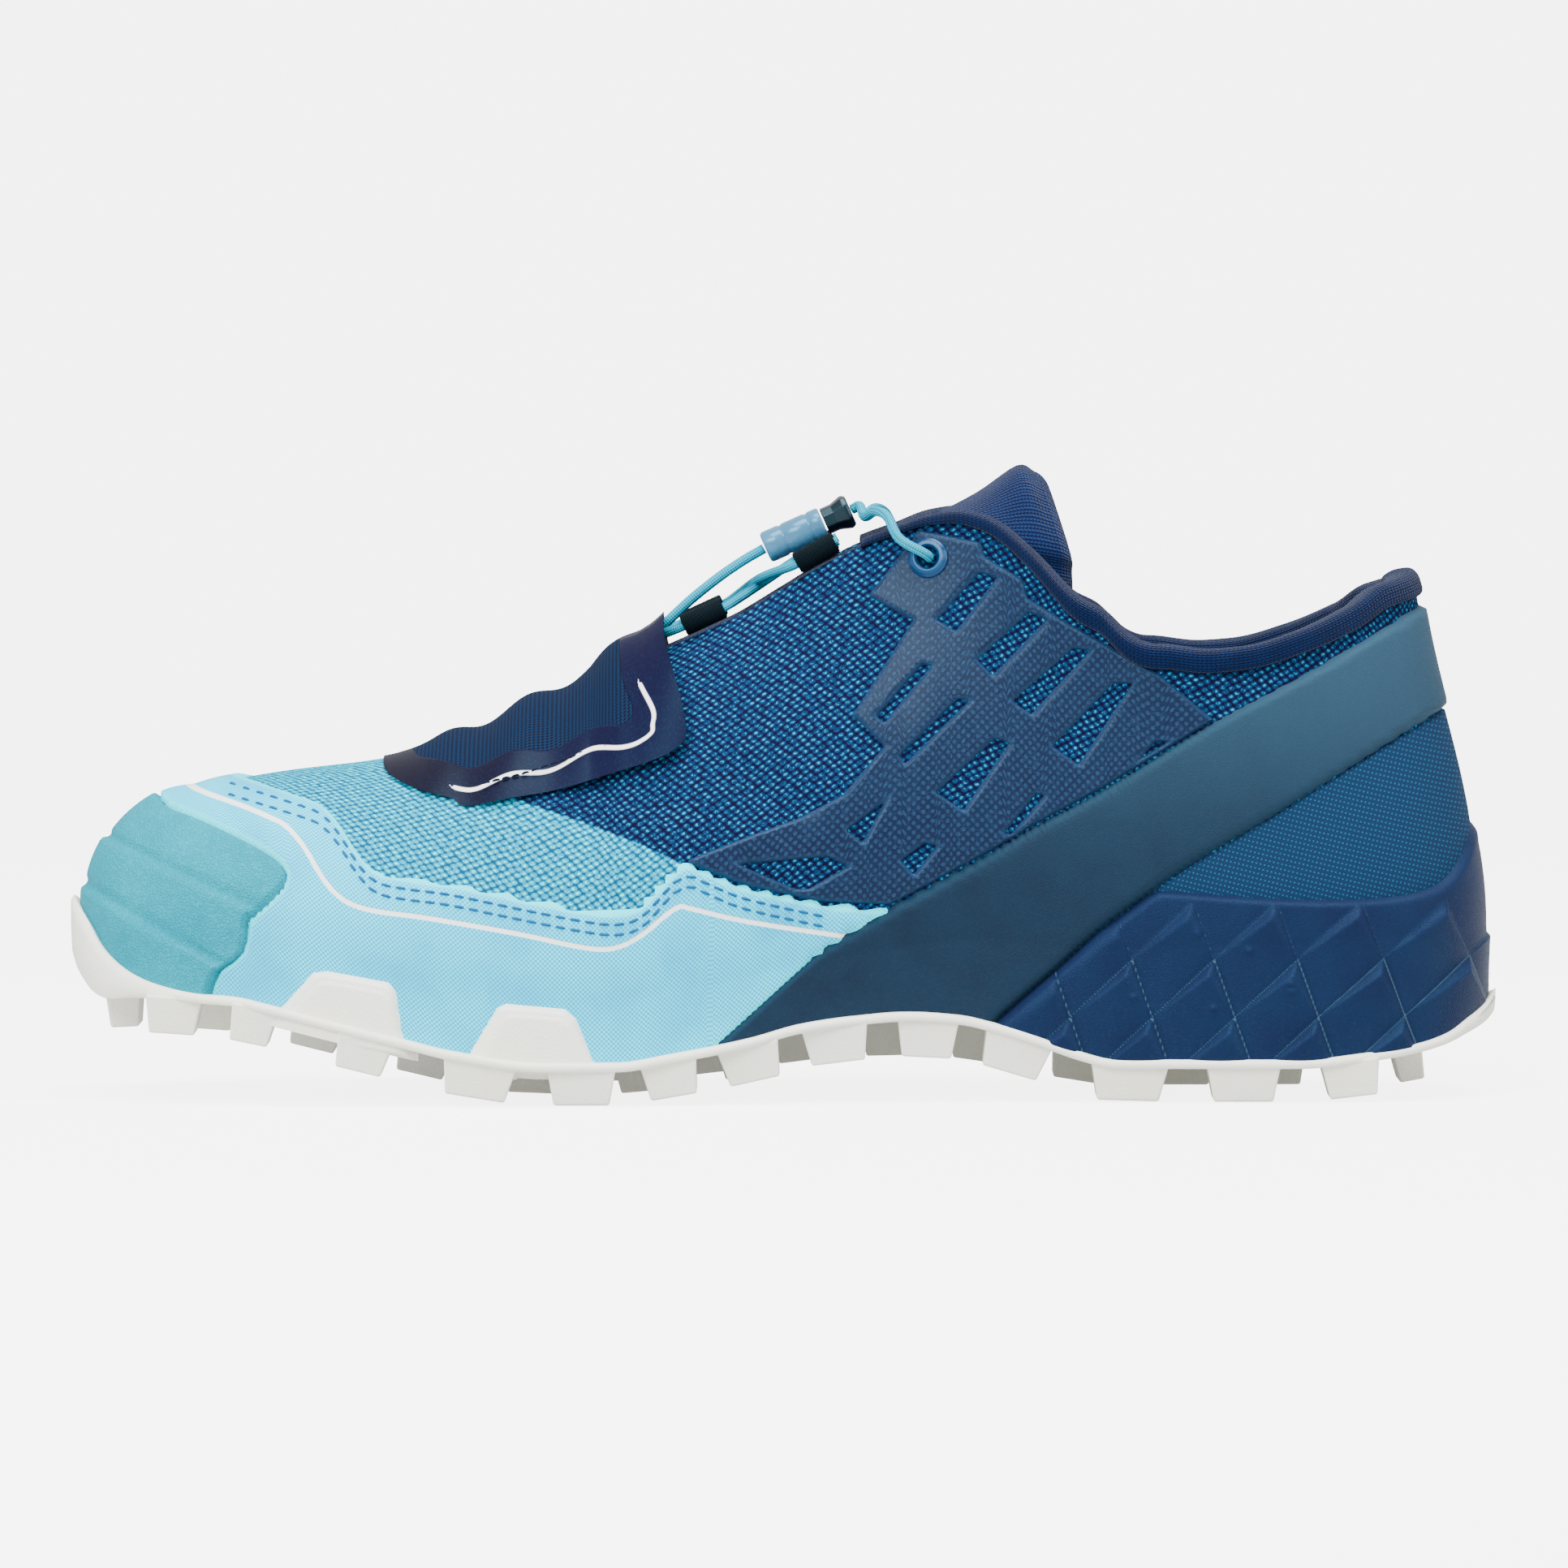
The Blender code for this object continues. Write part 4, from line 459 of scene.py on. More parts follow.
# The piece with its modifiers applied.
def baked(piece):
    graph = bpy.context.evaluated_depsgraph_get()
    mesh = bpy.data.meshes.new_from_object(piece.evaluated_get(graph))
    piece.modifiers.clear()
    piece.data = mesh
    return piece


# Gives a piece its material, its slot, the nodes it stands for and the body it rides on.
def settle(piece, nodes, material):
    piece.data.materials.clear()
    piece.data.materials.append(material)
    if nodes:
        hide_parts(*nodes)
    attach(piece, "root")
    print("made", piece.name, flush=True)
    return piece


# Circles square to a path, kept from twisting.
def tubeRings(path, radius, sides):
    run = np.gradient(path, axis=0)
    run /= np.linalg.norm(run, axis=1)[:, None]
    first = np.cross(run[0], (0.3, 0.2, 1.0))
    rings = []
    for point, way in zip(path, run):
        first = first - way * first.dot(way)
        first /= np.linalg.norm(first)
        turn = np.linspace(0, 2 * math.pi, sides, endpoint=False)[:, None]
        rings.append(point + radius * (np.cos(turn) * first + np.sin(turn) * np.cross(way, first)))
    return np.array(rings)


# Points and normals of the wall under a line drawn on the side, found by Newton steps.
def onSide(line, side):
    line = np.array(line, float)
    turns = side * np.linspace(0.05, math.pi - 0.05, 160)
    rises = np.linspace(-0.3, 1, 60)
    points = wallAt(turns, rises)
    away = ((points[None, :, :, ::2] - line[:, None, None]) ** 2).sum(axis=-1)
    best = away.reshape(len(line), -1).argmin(1)
    rise, turn = rises[best // 160].copy(), turns[best % 160].copy()
    found = []
    for k, (x, z) in enumerate(line):
        u, v = turn[k], rise[k]
        for _ in range(5):
            here, du, dv = wallAt([u, u + 1e-4], [v, v + 1e-4])[[0, 0, 1], [0, 1, 0]]
            slopes = np.array([du - here, dv - here])[:, ::2].T / 1e-4
            step = np.linalg.lstsq(slopes, np.array([x, z]) - here[::2], rcond=1e-3)[0]
            u, v = u + np.clip(step[0], -0.03, 0.03), np.clip(v + np.clip(step[1], -0.05, 0.05), -0.9, 1.0)
        p, n = formAt([u], [v])
        found.append((p[0, 0], n[0, 0]))
    found = np.array(found)
    return found[:, 0], found[:, 1]


# Points a pitch apart along a line.
def evenly(line, pitch):
    line = np.array(line, float)
    run = runAlong(line)
    at = np.arange(pitch / 2, run[-1], pitch)
    return np.stack([np.interp(at, run, line[:, k]) for k in range(line.shape[1])], axis=1)


# Small rounded stitches: six-sided capsules that dip into the surface at both ends.
def stitchPoints(centres, ways, normals, length, radius):
    shape = [(-0.5, 0.35, -0.5), (-0.36, 0.9, 0.15), (0.0, 1.0, 0.45), (0.36, 0.9, 0.15), (0.5, 0.35, -0.5)]
    across = np.cross(ways, normals)
    points = []
    for along, fat, lift in shape:
        for k in range(6):
            turn = 2 * math.pi * k / 6
            points.append(centres + ways * along * length + normals * (lift + fat * math.sin(turn)) * radius
                          + across * fat * math.cos(turn) * radius)
    points = np.array(points).transpose(1, 0, 2)
    one = gridQuads(len(shape), 6, True)
    quads = (one[None] + np.arange(len(points))[:, None, None] * len(shape) * 6).reshape(-1, 4)
    return points.reshape(-1, 3), quads


# Stitches on both sides along lines drawn on the side, lifted off the wall; returns points and quads.
def seam(lines, lift, pitch, length, radius):
    allPoints, allQuads, count = [], [], 0
    for line in lines:
        even = evenly(line, pitch)
        for side in (-1, 1):
            centres, normals = onSide(even, side)
            ways = np.gradient(centres, axis=0)
            ways /= np.linalg.norm(ways, axis=1)[:, None]
            points, quads = stitchPoints(centres + normals * lift, ways, normals, length, radius)
            allPoints.append(points)
            allQuads.append(quads + count)
            count += len(points)
    return np.concatenate(allPoints), np.concatenate(allQuads)


def seamPiece(name, stitches):
    points, quads = stitches
    return meshPiece(name, points, quads, points[:, :2] * 1000)


# Materials: small helpers, then node groups shared by several materials

# Writes a material's nodes; a socket given as an input is linked, anything else is set.
class Surface:
    def __init__(self, name, group=None):
        if group:
            self.material, self.tree = None, group
            return
        self.material = bpy.data.materials.new(name)
        self.material.use_nodes = True
        self.tree = self.material.node_tree
        self.shader = self.tree.nodes["Principled BSDF"]
        self.shader.inputs["Specular IOR Level"].default_value = 0.1
        self.shader.inputs["Specular Tint"].default_value = (0.25, 0.7, 1.0, 1.0)

    def put(self, socket, value):
        if isinstance(value, bpy.types.NodeSocket):
            self.tree.links.new(value, socket)
        elif isinstance(value, tuple) and len(value) == 3 and socket.type == "RGBA":
            socket.default_value = (*value, 1.0)
        else:
            socket.default_value = value

    def node(self, kind, options=None, inputs=None):
        made = self.tree.nodes.new("ShaderNode" + kind)
        for key, value in (options or {}).items():
            setattr(made, key, value)
        for key, value in (inputs or {}).items():
            self.put(made.inputs[key], value)
        return made

    def calc(self, operation, a, b=0.0, c=0.0):
        return self.node("Math", {"operation": operation}, {0: a, 1: b, 2: c}).outputs[0]

    def between(self, value, low, high, start=0.0, end=1.0):
        made = self.node("MapRange", {"interpolation_type": "SMOOTHSTEP"},
                         {"Value": value, "From Min": low, "From Max": high, "To Min": start, "To Max": end})
        return made.outputs["Result"]

    def times(self, a, b):
        return self.calc("MULTIPLY", a, b)

    def plus(self, a, b):
        return self.calc("ADD", a, b)

    def minus(self, a, b):
        return self.calc("SUBTRACT", a, b)

    def over(self, a, b):
        return self.calc("DIVIDE", a, b)

    # Distance to the nearest centre of a flat Voronoi pattern.
    def cells(self, vector, scale, wander):
        inputs = {"Vector": vector, "Scale": scale, "Randomness": wander}
        return self.node("TexVoronoi", {"voronoi_dimensions": "2D"}, inputs).outputs["Distance"]

    def mix(self, share, a, b):
        return self.node("Mix", {"data_type": "RGBA"}, {0: share, 6: a, 7: b}).outputs[2]

    def attribute(self, name):
        return self.node("Attribute", {"attribute_name": name}).outputs["Fac"]

    def flow(self):
        return self.node("UVMap", {"uv_map": "flow"}).outputs[0]

    def place(self):
        return self.node("TexCoord").outputs["Object"]

    def part(self, vector, number):
        return self.node("SeparateXYZ", {}, {0: vector}).outputs[number]

    # A vector scaled, then turned by degrees about the axes.
    def turned(self, vector, turn=(0, 0, 0), scale=(1, 1, 1)):
        angles = tuple(math.radians(v) for v in turn)
        return self.node("Mapping", {}, {"Vector": vector, "Rotation": angles, "Scale": scale}).outputs[0]

    def noise(self, vector, scale, detail=3.0, rough=0.5):
        inputs = {"Vector": vector, "Scale": scale, "Detail": detail, "Roughness": rough}
        return self.node("TexNoise", {}, inputs).outputs[0]

    def group(self, tree, inputs):
        made = self.tree.nodes.new("ShaderNodeGroup")
        made.node_tree = tree
        for key, value in inputs.items():
            self.put(made.inputs[key], value)
        return made.outputs

    def shared(self, name, **inputs):
        return self.group(shared[name], inputs)

    def dusty(self, colour):
        return self.shared("dust", Colour=colour)["Colour"]

    def bump(self, height, depth, strength):
        return self.node("Bump", {}, {"Height": height, "Distance": depth, "Strength": strength}).outputs[0]

    def finish(self, **inputs):
        for key, value in inputs.items():
            self.put(self.shader.inputs[key.replace("_", " ")], value)
        return self.material


# An empty node group, its writer, and its input and output nodes; a tuple is a colour, None a vector.
def newGroup(name, inputs, outputs):
    tree = bpy.data.node_groups.new(name, "ShaderNodeTree")
    for key, value in inputs.items():
        kind = "Vector" if value is None else "Color" if isinstance(value, tuple) else "Float"
        socket = tree.interface.new_socket(key, in_out="INPUT", socket_type="NodeSocket" + kind)
        if value is not None:
            socket.default_value = value
    for key in outputs:
        kind = "Color" if key == "Colour" else "Float"
        tree.interface.new_socket(key, in_out="OUTPUT", socket_type="NodeSocket" + kind)
    return tree, Surface(name, tree), tree.nodes.new("NodeGroupInput").outputs, tree.nodes.new("NodeGroupOutput").inputs


def srgb(red, green, blue):
    return tuple((v / 255 / 12.92) if v <= 10 else ((v / 255 + 0.055) / 1.055) ** 2.4 for v in (red, green, blue))


# Over and under threads: sine along times sine across, roughened by noise.
def weaveGroup():
    tree, w, given, put = newGroup("weave", {"Vector": None, "Pitch": 1.0}, ("Height", "Thread"))
    waves = [w.calc("SINE", w.times(w.over(w.part(given["Vector"], k), given["Pitch"]), 2 * math.pi)) for k in (0, 1)]
    over = w.times(*waves)
    fibre = w.noise(given["Vector"], 9.0, 2.0)
    w.put(put["Height"], w.calc("MULTIPLY_ADD", over, 0.5, w.calc("MULTIPLY_ADD", fibre, 0.35, 0.3)))
    w.put(put["Thread"], w.between(over, -0.35, 0.35))
    return tree


# Columns of V stitches: a saw down the column, bent by the way across it.
def knitGroup():
    tree, w, given, put = newGroup("knit", {"Vector": None, "Pitch": 1.2}, ("Height",))
    across = w.calc("FRACT", w.over(w.part(given["Vector"], 0), given["Pitch"]))
    vee = w.calc("ABSOLUTE", w.minus(across, 0.5))
    down = w.plus(w.over(w.part(given["Vector"], 1), w.times(given["Pitch"], 0.8)), vee)
    loop = w.calc("ABSOLUTE", w.calc("SINE", w.times(down, math.pi)))
    rib = w.calc("SINE", w.times(w.calc("FRACT", w.times(across, 2.0)), math.pi))
    w.put(put["Height"], w.times(w.calc("POWER", loop, 0.6), rib))
    return tree


# Round holes in even rows: distance to the nearest cell centre of a Voronoi pattern that doesn't wander.
def holesGroup():
    tree, w, given, put = newGroup("holes", {"Vector": None, "Pitch": 1.2, "Radius": 0.3}, ("Hole",))
    cells = w.cells(given["Vector"], w.over(1.0, given["Pitch"]), 0.0)
    w.put(put["Hole"], w.between(w.minus(cells, given["Radius"]), -0.07, 0.07, 1.0, 0.0))
    return tree


# Fine leathery grain: Voronoi edges over noise, and a slow mottle.
def grainGroup():
    tree, w, given, put = newGroup("grain", {"Vector": None, "Scale": 1.0}, ("Height", "Mottle"))
    vector, scale = given["Vector"], given["Scale"]
    edges = w.node("TexVoronoi", {"feature": "DISTANCE_TO_EDGE"}, {"Vector": vector, "Scale": scale}).outputs[0]
    fine = w.noise(vector, w.times(scale, 2.6))
    w.put(put["Height"], w.calc("MULTIPLY_ADD", w.between(edges, 0.0, 0.3), 0.7, w.times(fine, 0.5)))
    w.put(put["Mottle"], w.noise(vector, w.times(scale, 0.05), 4.0))
    return tree


# Mask for painted edge highlights: where a bevelled normal leaves the true one.
def edgeHighlightGroup():
    tree, w, given, put = newGroup("paintedEdgeHighlight", {"Radius": 0.001}, ("Edge",))
    rounded = w.node("Bevel", {"samples": 4}, {"Radius": given["Radius"]}).outputs[0]
    true = w.node("NewGeometry").outputs["Normal"]
    match = w.node("VectorMath", {"operation": "DOT_PRODUCT"}, {0: rounded, 1: true}).outputs["Value"]
    w.put(put["Edge"], w.between(match, 0.985, 0.9))
    return tree


# Thin dust that gathers low on the shoe: noise times a fall with height.
def dustGroup():
    tree, w, given, put = newGroup("dust", {"Colour": (0.5, 0.5, 0.5, 1), "Amount": 0.02}, ("Colour",))
    place = w.place()
    low = w.between(w.part(place, 2), 0.0, 0.05, 1.0, 0.25)
    mask = w.times(w.times(w.between(w.noise(place, 1700.0, 4.0), 0.5, 0.85), low), given["Amount"])
    w.put(put["Colour"], w.mix(mask, given["Colour"], srgb(153, 153, 142)))
    return tree


shared = {"weave": weaveGroup(), "knit": knitGroup(), "holes": holesGroup(), "grain": grainGroup(),
          "edgeHighlight": edgeHighlightGroup(), "dust": dustGroup()}


# A printed line of this width over a colour, along the zero of a distance attribute.
def lined(s, colour, name, width, soft=0.00012, line=(0.86, 0.86, 0.86), share=1.0):
    away = s.calc("ABSOLUTE", s.attribute(name))
    near = s.between(s.attribute(name + "Near"), 0.4, 0.6, 0.0, share)
    mask = s.times(s.between(away, width / 2 - soft, width / 2 + soft, 1.0, 0.0), near)
    return s.mix(mask, colour, line), mask


# Two meshes of slanted rows of raised dots: pale over the toe, dark blue over the quarter.
# A dot is where the distance to its cell's centre is small, a gap where it is large.
def upperMaterial():
    s = Surface("upperMesh")
    flow = s.flow()
    light = s.between(s.attribute("light"), -0.0003, 0.0003)
    turned = s.turned(flow, (0, 0, 34.3775), (0.74, 1, 1))
    cells = s.cells(turned, 0.92, 0.22)
    dot = s.between(cells, 0.18, 0.36, 1.0, 0.0)
    gap = s.between(cells, 0.4, 0.56)
    fleck = s.between(s.noise(flow, 1.7, 2.0), 0.4, 0.66)
    dark = s.mix(s.times(dot, fleck), srgb(15, 39, 76), srgb(15, 132, 172))
    dark = s.mix(gap, dark, srgb(15, 2, 33))
    pale = s.mix(s.times(dot, fleck), srgb(0, 142, 177), srgb(9, 246, 231))
    pale = s.mix(gap, pale, srgb(0, 73, 106))
    inner = s.between(s.attribute("lining"), 0.4, 0.6)
    colour = s.mix(inner, s.mix(light, dark, pale), srgb(1, 2, 29))
    height = s.minus(dot, gap)
    return s.finish(Base_Color=colour, Roughness=0.85, Normal=s.bump(height, 0.00022, 0.7))


def toeRubberMaterial():
    s = Surface("toeRubber")
    grain = s.shared("grain", Vector=s.place(), Scale=1500.0)
    edgeHighlight = s.shared("edgeHighlight", Radius=0.0012)
    colour = s.mix(grain["Mottle"], srgb(0, 119, 138), srgb(0, 155, 172))
    # Painted highlight: the edges are mixed towards a pale cyan where light would catch them.
    colour = s.mix(s.times(edgeHighlight["Edge"], 0.35), colour, srgb(1, 226, 248))
    return s.finish(Base_Color=s.dusty(colour), Roughness=s.between(grain["Mottle"], 0.3, 0.7, 0.5, 0.62),
                    Normal=s.bump(grain["Height"], 0.00026, 0.9), Specular_IOR_Level=0.12)


# Pale film with a fine weave under it, a printed white line and a stitched edge.
def randMaterial():
    s = Surface("randFilm")
    flow = s.flow()
    threads = s.shared("weave", Vector=flow, Pitch=0.9)
    patches = s.noise(flow, 0.06, 4.0)
    colour = s.mix(threads["Thread"], srgb(0, 156, 207), srgb(2, 225, 248))
    colour = s.mix(s.between(patches, 0.4, 0.7, 0.0, 0.45), colour, srgb(0, 142, 190))
    rim = s.between(s.attribute("inside"), 0.0004, 0.0012, 0.55, 0.0)
    colour = s.mix(rim, colour, srgb(6, 247, 248))
    colour, mask = lined(s, colour, "line", 0.00088)
    height = s.plus(threads["Height"], s.times(mask, 2.0))
    return s.finish(Base_Color=s.dusty(colour), Roughness=0.42, Normal=s.bump(height, 0.00012, 0.55),
                    Coat_Weight=0.02,
                    Coat_Roughness=0.3)


def bandMaterial():
    s = Surface("heelBandFilm")
    flow = s.flow()
    grain = s.shared("grain", Vector=s.place(), Scale=2300.0)
    threads = s.shared("weave", Vector=flow, Pitch=0.7)
    colour = s.mix(grain["Mottle"], srgb(22, 29, 45), srgb(23, 41, 58))
    rim = s.between(s.attribute("inside"), 0.0006, 0.0016, 0.4, 0.0)
    colour = s.mix(rim, colour, srgb(26, 52, 70))
    # Painted light: the band is mixed towards a lighter blue higher up, as if lit from above.
    high = s.between(s.part(s.place(), 2), 0.04, 0.1, 0.0, 0.45)
    colour = s.mix(high, colour, srgb(58, 92, 112))
    height = s.plus(s.times(threads["Height"], 0.4), grain["Height"])
    return s.finish(Base_Color=s.dusty(colour), Roughness=0.5, Normal=s.bump(height, 0.0001, 0.6))


# Blue textile with slanted rows of fine dots: each dot where its cell's centre is near.
def counterMaterial():
    s = Surface("heelPanel")
    turned = s.turned(s.turned(s.place(), (90, 0, 0), (1000, 1000, 1000)), (0, 0, -14))
    squares = []
    for number, pitch in ((1, 0.95), (0, 0.8)):
        cell = s.calc("FRACT", s.over(s.part(turned, number), pitch))
        squares.append(s.calc("POWER", s.times(s.calc("ABSOLUTE", s.minus(cell, 0.5)), pitch), 2.0))
    dots = s.between(s.calc("SQRT", s.plus(*squares)), 0.14, 0.26, 1.0, 0.0)
    threads = s.shared("weave", Vector=s.flow(), Pitch=0.6)
    colour = s.mix(threads["Thread"], srgb(20, 34, 60), srgb(20, 46, 74))
    colour = s.mix(s.times(dots, 0.6), colour, srgb(33, 91, 123))
    height = s.plus(s.times(threads["Height"], 0.5), s.times(dots, 0.8))
    return s.finish(Base_Color=colour, Roughness=0.75, Normal=s.bump(height, 0.00015, 0.7))


# Translucent welded film with a grid of pale dots; its bars show pale creases where they cross.
def saddleMaterial():
    s = Surface("saddleFilm")
    flow = s.flow()
    dots = s.shared("holes", Vector=s.turned(flow, (0, 0, 44.691)), Pitch=1.3, Radius=0.3)
    threads = s.shared("weave", Vector=flow, Pitch=1.1)
    colour = s.mix(s.noise(flow, 0.12, 3.0), srgb(18, 21, 44), srgb(20, 32, 56))
    colour = s.mix(s.times(dots["Hole"], 0.9), colour, srgb(28, 49, 76))
    rim = s.between(s.attribute("inside"), 0.0002, 0.0009, 0.6, 0.0)
    colour = s.mix(rim, colour, srgb(29, 54, 84))
    crease = s.between(s.calc("ABSOLUTE", s.minus(s.noise(flow, 0.35, 5.0, 0.6), 0.5)), 0.0, 0.012, 0.35, 0.0)
    colour = s.mix(crease, colour, srgb(42, 70, 100))
    height = s.plus(s.times(threads["Height"], 0.35), dots["Hole"])
    return s.finish(Base_Color=colour, Roughness=0.36, Normal=s.bump(height, 0.00012, 0.6), Coat_Weight=0.08,
                    Coat_Roughness=0.25)


# Fine-holed mesh inside a speckled film border, a white printed line between them.
def coverMaterial():
    s = Surface("coverFilm")
    flow = s.flow()
    holes = s.shared("holes", Vector=flow, Pitch=0.85, Radius=0.3)
    mesh = s.mix(holes["Hole"], srgb(13, 28, 53), srgb(13, 2, 16))
    specks = s.between(s.noise(flow, 2.2, 2.0), 0.56, 0.64)
    front = s.between(s.part(s.place(), 0), -0.075, -0.03)
    film = s.mix(front, srgb(15, 8, 22), srgb(13, 9, 36))
    film = s.mix(s.times(specks, 0.4), film, srgb(20, 38, 68))
    within = s.between(s.attribute("mesh"), -0.0002, 0.0002)
    colour, mask = lined(s, s.mix(within, film, mesh), "line", 0.0008)
    height = s.minus(s.plus(mask, s.times(s.minus(1.0, within), 1.4)),
                    s.times(s.times(holes["Hole"], within), 0.9))
    return s.finish(Base_Color=colour, Roughness=s.between(within, 0, 1, 0.45, 0.8),
                    Normal=s.bump(height, 0.0003, 0.7))


# Satin foam skin: fine pips and a low mottle over the moulded scales.
def foamMaterial():
    s = Surface("midsoleFoam")
    grain = s.shared("grain", Vector=s.place(), Scale=1900.0)
    edgeHighlight = s.shared("edgeHighlight", Radius=0.0009)
    colour = s.mix(grain["Mottle"], srgb(18, 22, 51), srgb(18, 36, 64))
    # Painted shade: the foam is darker in the creases along the scale borders.
    colour = s.mix(s.between(s.attribute("border"), 0.0, 0.07, 0.5, 0.0), colour, srgb(6, 20, 42))
    # Painted highlight: the foam's edges are mixed towards a lighter blue.
    colour = s.mix(s.times(edgeHighlight["Edge"], 0.3), colour, srgb(20, 64, 98))
    # Painted highlight: a thin pale line along the scale borders, where their edges catch the light.
    colour = s.mix(s.between(s.attribute("border"), 0.0, 0.016, 0.3, 0.0), colour, srgb(96, 128, 152))
    return s.finish(Base_Color=s.dusty(colour), Roughness=0.42, Normal=s.bump(grain["Height"], 0.00012, 0.5))


def soleRubberMaterial():
    s = Surface("outsoleRubber")
    grain = s.shared("grain", Vector=s.place(), Scale=1300.0)
    edgeHighlight = s.shared("edgeHighlight", Radius=0.001)
    colour = s.mix(grain["Mottle"], srgb(239, 238, 214), srgb(239, 239, 239))
    # Painted highlight: the edges are mixed towards white.
    colour = s.mix(s.times(edgeHighlight["Edge"], 0.2), colour, srgb(239, 239, 239))
    return s.finish(Base_Color=s.dusty(colour), Roughness=0.55, Normal=s.bump(grain["Height"], 0.00012, 0.5),
                    Specular_Tint=(1.0, 1.0, 1.0, 1.0), Specular_IOR_Level=0.35)


def knitMaterial(name, low, high, pitch=1.1):
    s = Surface(name)
    knit = s.shared("knit", Vector=s.flow(), Pitch=pitch)
    colour = s.mix(knit["Height"], low, high)
    colour = s.mix(s.between(s.noise(s.flow(), 0.15, 3.0), 0.35, 0.7, 0.0, 0.3), colour, low)
    return s.finish(Base_Color=colour, Roughness=0.92, Normal=s.bump(knit["Height"], 0.00035, 0.8), Sheen_Weight=0.1,
                    Sheen_Roughness=0.4)


# Braided or woven tape: the shared weave turned by 45 degrees.
def braidMaterial(name, low, high, pitch):
    s = Surface(name)
    threads = s.shared("weave", Vector=s.turned(s.flow(), (0, 0, 45)), Pitch=pitch)
    colour = s.mix(threads["Thread"], low, high)
    return s.finish(Base_Color=colour, Roughness=0.7, Normal=s.bump(threads["Height"], 0.0002, 0.8))


def threadMaterial(name, colour):
    s = Surface(name)
    twist = s.noise(s.place(), 3000.0, 2.0)
    return s.finish(Base_Color=s.mix(twist, colour, tuple(min(1, v * 1.6 + 0.01) for v in colour)), Roughness=0.75,
                    Normal=s.bump(twist, 0.0001, 0.5))


# Moulded plastic: faint flow marks and fine scratches, part see-through for the barrel.
def plasticMaterial(name, low, high, rough, see=0.0):
    s = Surface(name)
    place = s.place()
    clouds = s.noise(place, 120.0, 2.0)
    scratch = s.between(s.noise(s.turned(place, scale=(80, 900, 900)), 4.0, 2.0), 0.62, 0.7)
    edgeHighlight = s.shared("edgeHighlight", Radius=0.0005)
    # Painted highlight: the edges are mixed towards the lighter plastic colour.
    colour = s.mix(s.times(edgeHighlight["Edge"], 0.4), s.mix(clouds, low, high), high)
    return s.finish(Base_Color=colour, Roughness=s.between(scratch, 0, 1, rough, rough + 0.15),
                    Transmission_Weight=see,
                    Normal=s.bump(clouds, 0.00002, 0.2), Coat_Weight=0.2, Coat_Roughness=0.15, Specular_IOR_Level=0.5)


def insoleMaterial():
    s = Surface("footbedCloth")
    threads = s.shared("weave", Vector=s.turned(s.place(), scale=(1000, 1000, 1000)), Pitch=0.9)
    colour = s.mix(threads["Thread"], srgb(2, 5, 13), srgb(15, 20, 28))
    return s.finish(Base_Color=colour, Roughness=0.9, Normal=s.bump(threads["Height"], 0.0002, 0.6))


# Pieces, each with its own sizes and marks

upper = {"columns": 560, "rows": 116, "inner": 26,
         "light": ((-0.2, 0.2), (-0.0574, 0.0651), (-0.0512, 0.0577), (-0.0377, 0.0532), (-0.0281, 0.0497),
                   (-0.0192, 0.0456), (-0.0182, 0.0368), (-0.0182, 0), (-0.2, -0.1))}


# Skin of the wall outside and, a wall's thickness in, its lining; soft troughs where it creases.
def makeUpper():
    turns = np.linspace(-math.pi, math.pi, upper["columns"], endpoint=False)
    outer, normals = formAt(turns, np.linspace(0, 1, upper["rows"]))
    depth = creaseDepth(outer)
    outer = outer - normals * depth[..., None]
    lining, inward = formAt(turns, np.linspace(1, 0, upper["inner"]))
    lining = lining - inward * shoe["wall"]
    points = np.concatenate([outer, lining])
    light = np.concatenate([inside(outer, upper["light"]), np.full(lining.shape[:2], -1.0)])
    within = np.zeros(points.shape[:2])
    within[upper["rows"]:] = 1.0
    piece = gridPiece("upperSkin", points, True, None, {"light": light, "lining": within})
    return settle(piece, ["upper"], upperMaterial())


# Creases: start, end on the side, half width and depth, all in metres; a minus depth is a ridge
creases = [
    ((-0.0417, 0.0564), (-0.0261, 0.0486), 0.003, 0.00045), ((-0.0363, 0.0604), (-0.019, 0.0564), 0.0035, 0.0005),
    ((-0.0135, 0.0651), (0.0069, 0.0541), 0.004, 0.0005), ((-0.0104, 0.0525), (0.0029, 0.0447), 0.003, -0.0004),
    ((-0.0637, 0.0541), (-0.0512, 0.0463), 0.003, -0.0003), ((0.0806, 0.0823), (0.1056, 0.0854), 0.003, 0.0004),
]


# Each crease: its depth times the square of a cosine-like fall across it, easing out at its ends.
def creaseDepth(points):
    depth = np.zeros(points.shape[:-1])
    for (x0, z0), (x1, z1), half, deep in creases:
        run = np.array([x1 - x0, z1 - z0])
        length = np.hypot(*run)
        t = ((points[..., 0] - x0) * run[0] + (points[..., 2] - z0) * run[1]) / length**2
        across = np.abs((points[..., 0] - x0) * run[1] - (points[..., 2] - z0) * run[0]) / length
        bow = np.abs(across - 0.0015 * np.sin(np.clip(t, 0, 1) * math.pi))
        depth += deep * smooth(1 - bow / half) * smooth(np.minimum(t, 1 - t) * 4 + 0.2) * (t > -0.05) * (t < 1.05)
    return depth


# Points brought up to just under the outsole's top edge.
def aboveSole(points):
    share = np.clip(points[..., 0] / shoe["length"] + 0.5, 0, 1)
    bed = soleTop(share, np.where(points[..., 1] < 0, -1.0, 1.0))
    points[..., 2] = np.maximum(points[..., 2], bed - 0.0012)
    return points


